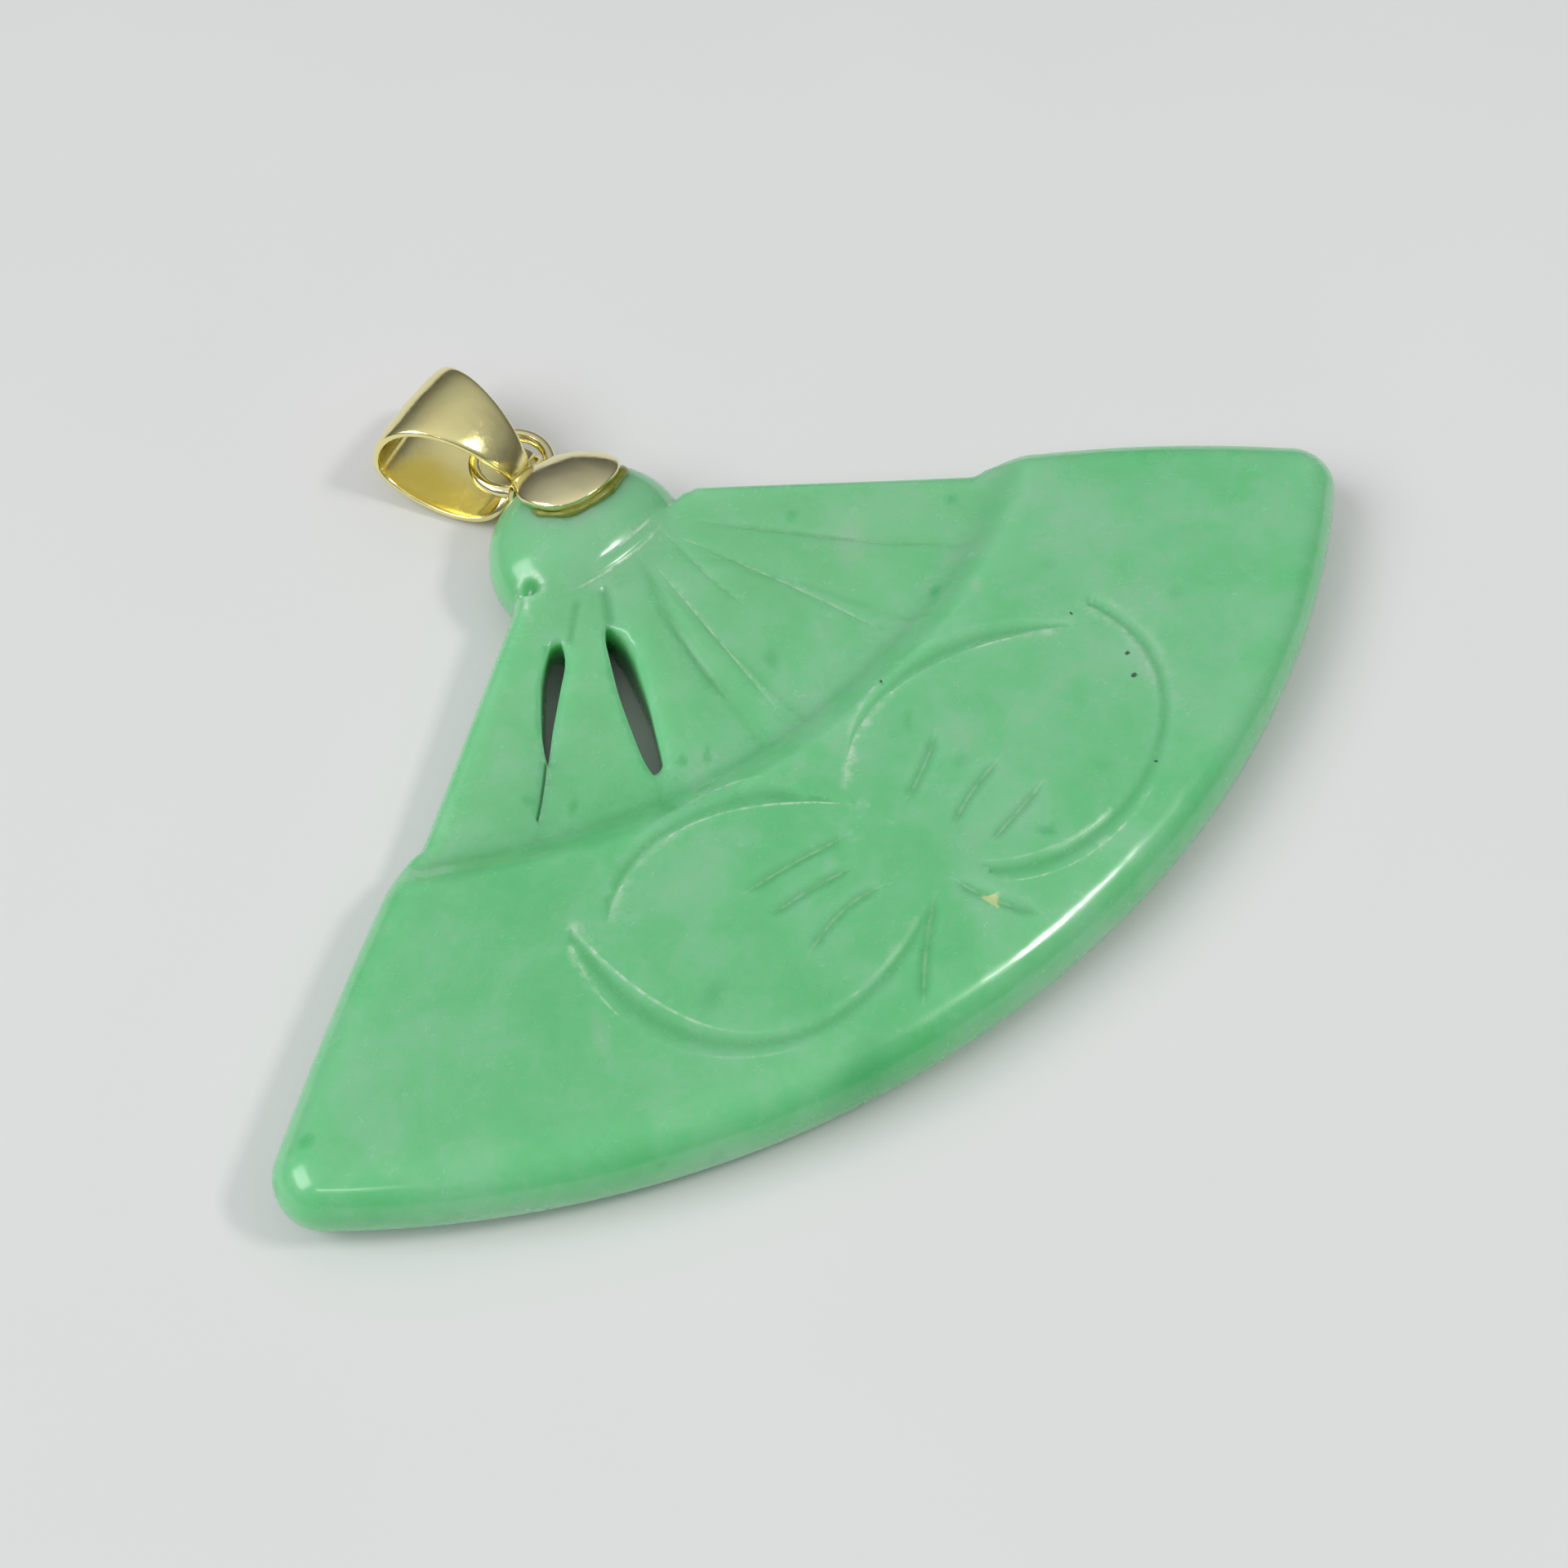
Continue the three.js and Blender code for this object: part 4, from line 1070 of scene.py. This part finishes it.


# A dark bead along the edge of the cap's front lobe: partly real glue, partly painted shade under the rim.
def glue_and_shade_bead(material, columns=120, ring=10):
    points, faces = [], []
    for column in range(columns + 1):
        share = 2 * column / columns - 1
        path = -1 + 0.5 * abs(share)
        x, y, _ = cap_point(path, math.copysign(1, share), 0)
        middle = cap_plan(0, CAP["widest"])
        away = math.hypot(x - middle[0], y - middle[1])
        outward = ((x - middle[0]) / away, (y - middle[1]) / away)
        wobble = 1 + 0.4 * math.sin(8 * share + 0.6) * math.sin(5 * share + 1.1)
        size = 0.12 * wobble * min(1.0, 5 * (1 - abs(share)) + 0.1)
        for step in range(ring):
            turn = 2 * math.pi * step / ring
            beside = (0.35 + math.cos(turn)) * size
            place = (x + outward[0] * beside, y + outward[1] * beside)
            reach = math.hypot(place[0] - HEAD[0], place[1] - HEAD[1])
            points.append((*place, pebble_height(reach, 0.03 + size * math.sin(turn), True)))
    for column in range(columns):
        for step in range(ring):
            a, b = column * ring + step, column * ring + (step + 1) % ring
            faces.append((a, a + ring, b + ring, b))
    faces.append(tuple(range(ring)))
    faces.append(tuple(range(columns * ring, (columns + 1) * ring))[::-1])
    return mesh_piece("cap_glue_and_shade", np.array(points), faces, material)


def solder_collar(material):
    """The flare of solder that carries the ring's wire into the top of the cap."""
    points, faces = [], []
    ring = 28
    rows = 12
    direction = math.atan2(RING_CENTRE[1] - HEAD[1], RING_CENTRE[0] - HEAD[0])
    skin = HEAD_RADIUS + SEAT_GAP + CAP_THICKNESS
    axis = np.array([math.cos(direction), math.sin(direction), 0])
    across = np.array([-axis[1], axis[0], 0])
    up = np.array([0, 0, 1])
    base = np.array([HEAD[0], HEAD[1], RING_CENTRE[2]])
    for row in range(rows + 1):
        share = row / rows
        reach = skin - 0.12 + 0.34 * share
        size = 0.12 + 0.42 * (1 - share) ** 2.0
        wide = 1.5 - 0.2 * share
        for step in range(ring):
            turn = 2 * math.pi * step / ring
            bend = 0.10 * wide * size * math.cos(turn) ** 2
            beside = across * (wide * size * math.cos(turn)) + up * (size * math.sin(turn))
            points.append(base + axis * (reach - bend) + beside)
    for row in range(rows):
        for step in range(ring):
            a, b = row * ring + step, row * ring + (step + 1) % ring
            faces.append((a, b, b + ring, a + ring))
    faces.append(tuple(range(ring))[::-1])
    faces.append(tuple(range(rows * ring, (rows + 1) * ring)))
    return mesh_piece("ring_solder", np.array(points), faces, material)


def mend(piece):
    """Merges doubles and turns the faces of a closed piece outwards."""
    shell = bmesh.new()
    shell.from_mesh(piece.data)
    bmesh.ops.remove_doubles(shell, verts=shell.verts, dist=2e-6)
    bmesh.ops.recalc_face_normals(shell, faces=shell.faces)
    shell.to_mesh(piece.data)
    shell.free()
    return piece


# The floor, the light and the camera
def aim(thing, place, target):
    thing.location = place
    thing.rotation_euler = (Vector(target) - Vector(place)).to_track_quat("-Z", "Y").to_euler()
    bpy.context.scene.collection.objects.link(thing)


def softbox(name, direction, distance, size, power, colour=(1, 1, 1), target=(0, -0.003, 0)):
    light = bpy.data.lights.new(name, "AREA")
    light.shape = "RECTANGLE"
    light.size, light.size_y = size
    light.energy = power
    light.color = colour
    aim(bpy.data.objects.new(name, light), Vector(target) + Vector(direction).normalized() * distance, target)


def pale_floor():
    material, board, place = new_material("pale floor")
    tone = noise(board, place, 0.05, 3.0, 0.5)
    body = board.mix_colour(tone, (0.74, 0.74, 0.73, 1), (0.78, 0.78, 0.77, 1))
    finish_material(board, {"Base Color": body, "Roughness": 0.75})
    mesh = bpy.data.meshes.new("floor")
    reach = 1.2
    mesh.from_pydata([(-reach, -reach, -2e-5), (reach, -reach, -2e-5), (reach, reach, -2e-5), (-reach, reach, -2e-5)],
                     [], [(0, 1, 2, 3)])
    mesh.materials.append(material)
    floor = bpy.data.objects.new("floor", mesh)
    bpy.context.scene.collection.objects.link(floor)


CAMERA = dict(pitch=0.98290, x=0.40730, y=-0.54116, distance=2.36774, turn=0.70731, plane=1.3427, lens=56.25)


def set_camera():
    cosine, sine = math.cos(CAMERA["turn"]), math.sin(CAMERA["turn"])
    pitch = CAMERA["pitch"]

    def unturn(x, y, z):
        return Vector((cosine * x + sine * y, -sine * x + cosine * y, z))

    place = unturn(CAMERA["x"], CAMERA["y"] - CAMERA["distance"] * math.cos(pitch),
                   CAMERA["distance"] * math.sin(pitch)) * FAN_RADIUS
    place.z += CAMERA["plane"]
    forward = unturn(0, math.cos(pitch), -math.sin(pitch))
    upward = unturn(0, math.sin(pitch), math.cos(pitch))
    rightward = forward.cross(upward)
    camera = bpy.data.cameras.new("camera")
    camera.lens = CAMERA["lens"]
    camera.sensor_width = 36
    camera.clip_start = 0.001
    camera.clip_end = 10
    view = bpy.data.objects.new("camera", camera)
    turn = Matrix((rightward, upward, -forward)).transposed().to_4x4()
    spot = in_part(place)
    view.matrix_world = Matrix.Translation([float(value) for value in spot]) @ turn
    bpy.context.scene.collection.objects.link(view)
    bpy.context.scene.camera = view


# The studio dome's colour by height, from the horizon to straight above
DOME = ((0.0, (0.10, 0.10, 0.11)), (0.35, (0.26, 0.27, 0.29)), (0.72, (0.60, 0.62, 0.65)), (1.0, (1.0, 1.0, 1.0)))
DOME_STRENGTH = 0.72


def set_light():
    world = bpy.data.worlds.new("studio")
    world.use_nodes = True
    world.node_tree.nodes.clear()
    board = Board(world.node_tree)
    direction = board.node("ShaderNodeTexCoord")
    height = board.node("ShaderNodeSeparateXYZ", {}, {0: direction}, out=2)
    dome = board.node("ShaderNodeValToRGB", {"stops": DOME}, {0: height})
    light = board.node("ShaderNodeBackground", {}, {"Color": dome, "Strength": DOME_STRENGTH})
    board.node("ShaderNodeOutputWorld", {}, {"Surface": light})
    bpy.context.scene.world = world
    softbox("rim light", (0.42, -0.44, 0.76), 0.30, (0.06, 0.04), 0.20, (1.0, 0.98, 0.95))
    softbox("tip light", (-0.6, -0.42, 0.75), 0.30, (0.022, 0.022), 0.018, (1.0, 1.0, 1.0))
    softbox("left window", (-0.65, 0.25, 0.72), 0.45, (0.34, 0.24), 1.00, (0.97, 0.99, 1.0))
    scene = bpy.context.scene
    scene.view_settings.view_transform = "Standard"
    scene.view_settings.look = "None"
    scene.view_settings.exposure = 0.0


set_camera()
set_light()
pale_floor()

JADEITE = jadeite()
YELLOW_GOLD = gold("yellow gold", (0.95, 0.87, 0.50), (0.10, 0.20))
BAIL_GOLD = gold("bail gold", (0.97, 0.88, 0.42), (0.12, 0.22))
GLUE_AND_RIM_SHADE = make_glue_and_rim_shade()

points, faces, marks = carve_fan()
fan = mesh_piece("carved_fan", points, faces, JADEITE)
for name, values in marks.items():
    fan.data.attributes.new(name, "FLOAT", "POINT").data.foreach_set("value", values.astype(np.float32))
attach(fan, "root")
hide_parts("jade_fan")

bail = grown_sheet("bail_strip", 36, 160, dict(sizes=BAIL, place=bail_place), BAIL_GOLD, 2e-6)
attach(mend(bail), "root")
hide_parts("bail")

cap = mend(cap_shell(YELLOW_GOLD))
ring = mend(grown_sheet("cap_ring", 24, 120, dict(sizes=RING, place=ring_place), YELLOW_GOLD, 2e-6))
solder = mend(solder_collar(YELLOW_GOLD))
glue_and_shade = mend(glue_and_shade_bead(GLUE_AND_RIM_SHADE))
for piece in (cap, ring, solder, glue_and_shade):
    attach(piece, "root")
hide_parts("gold_cap")
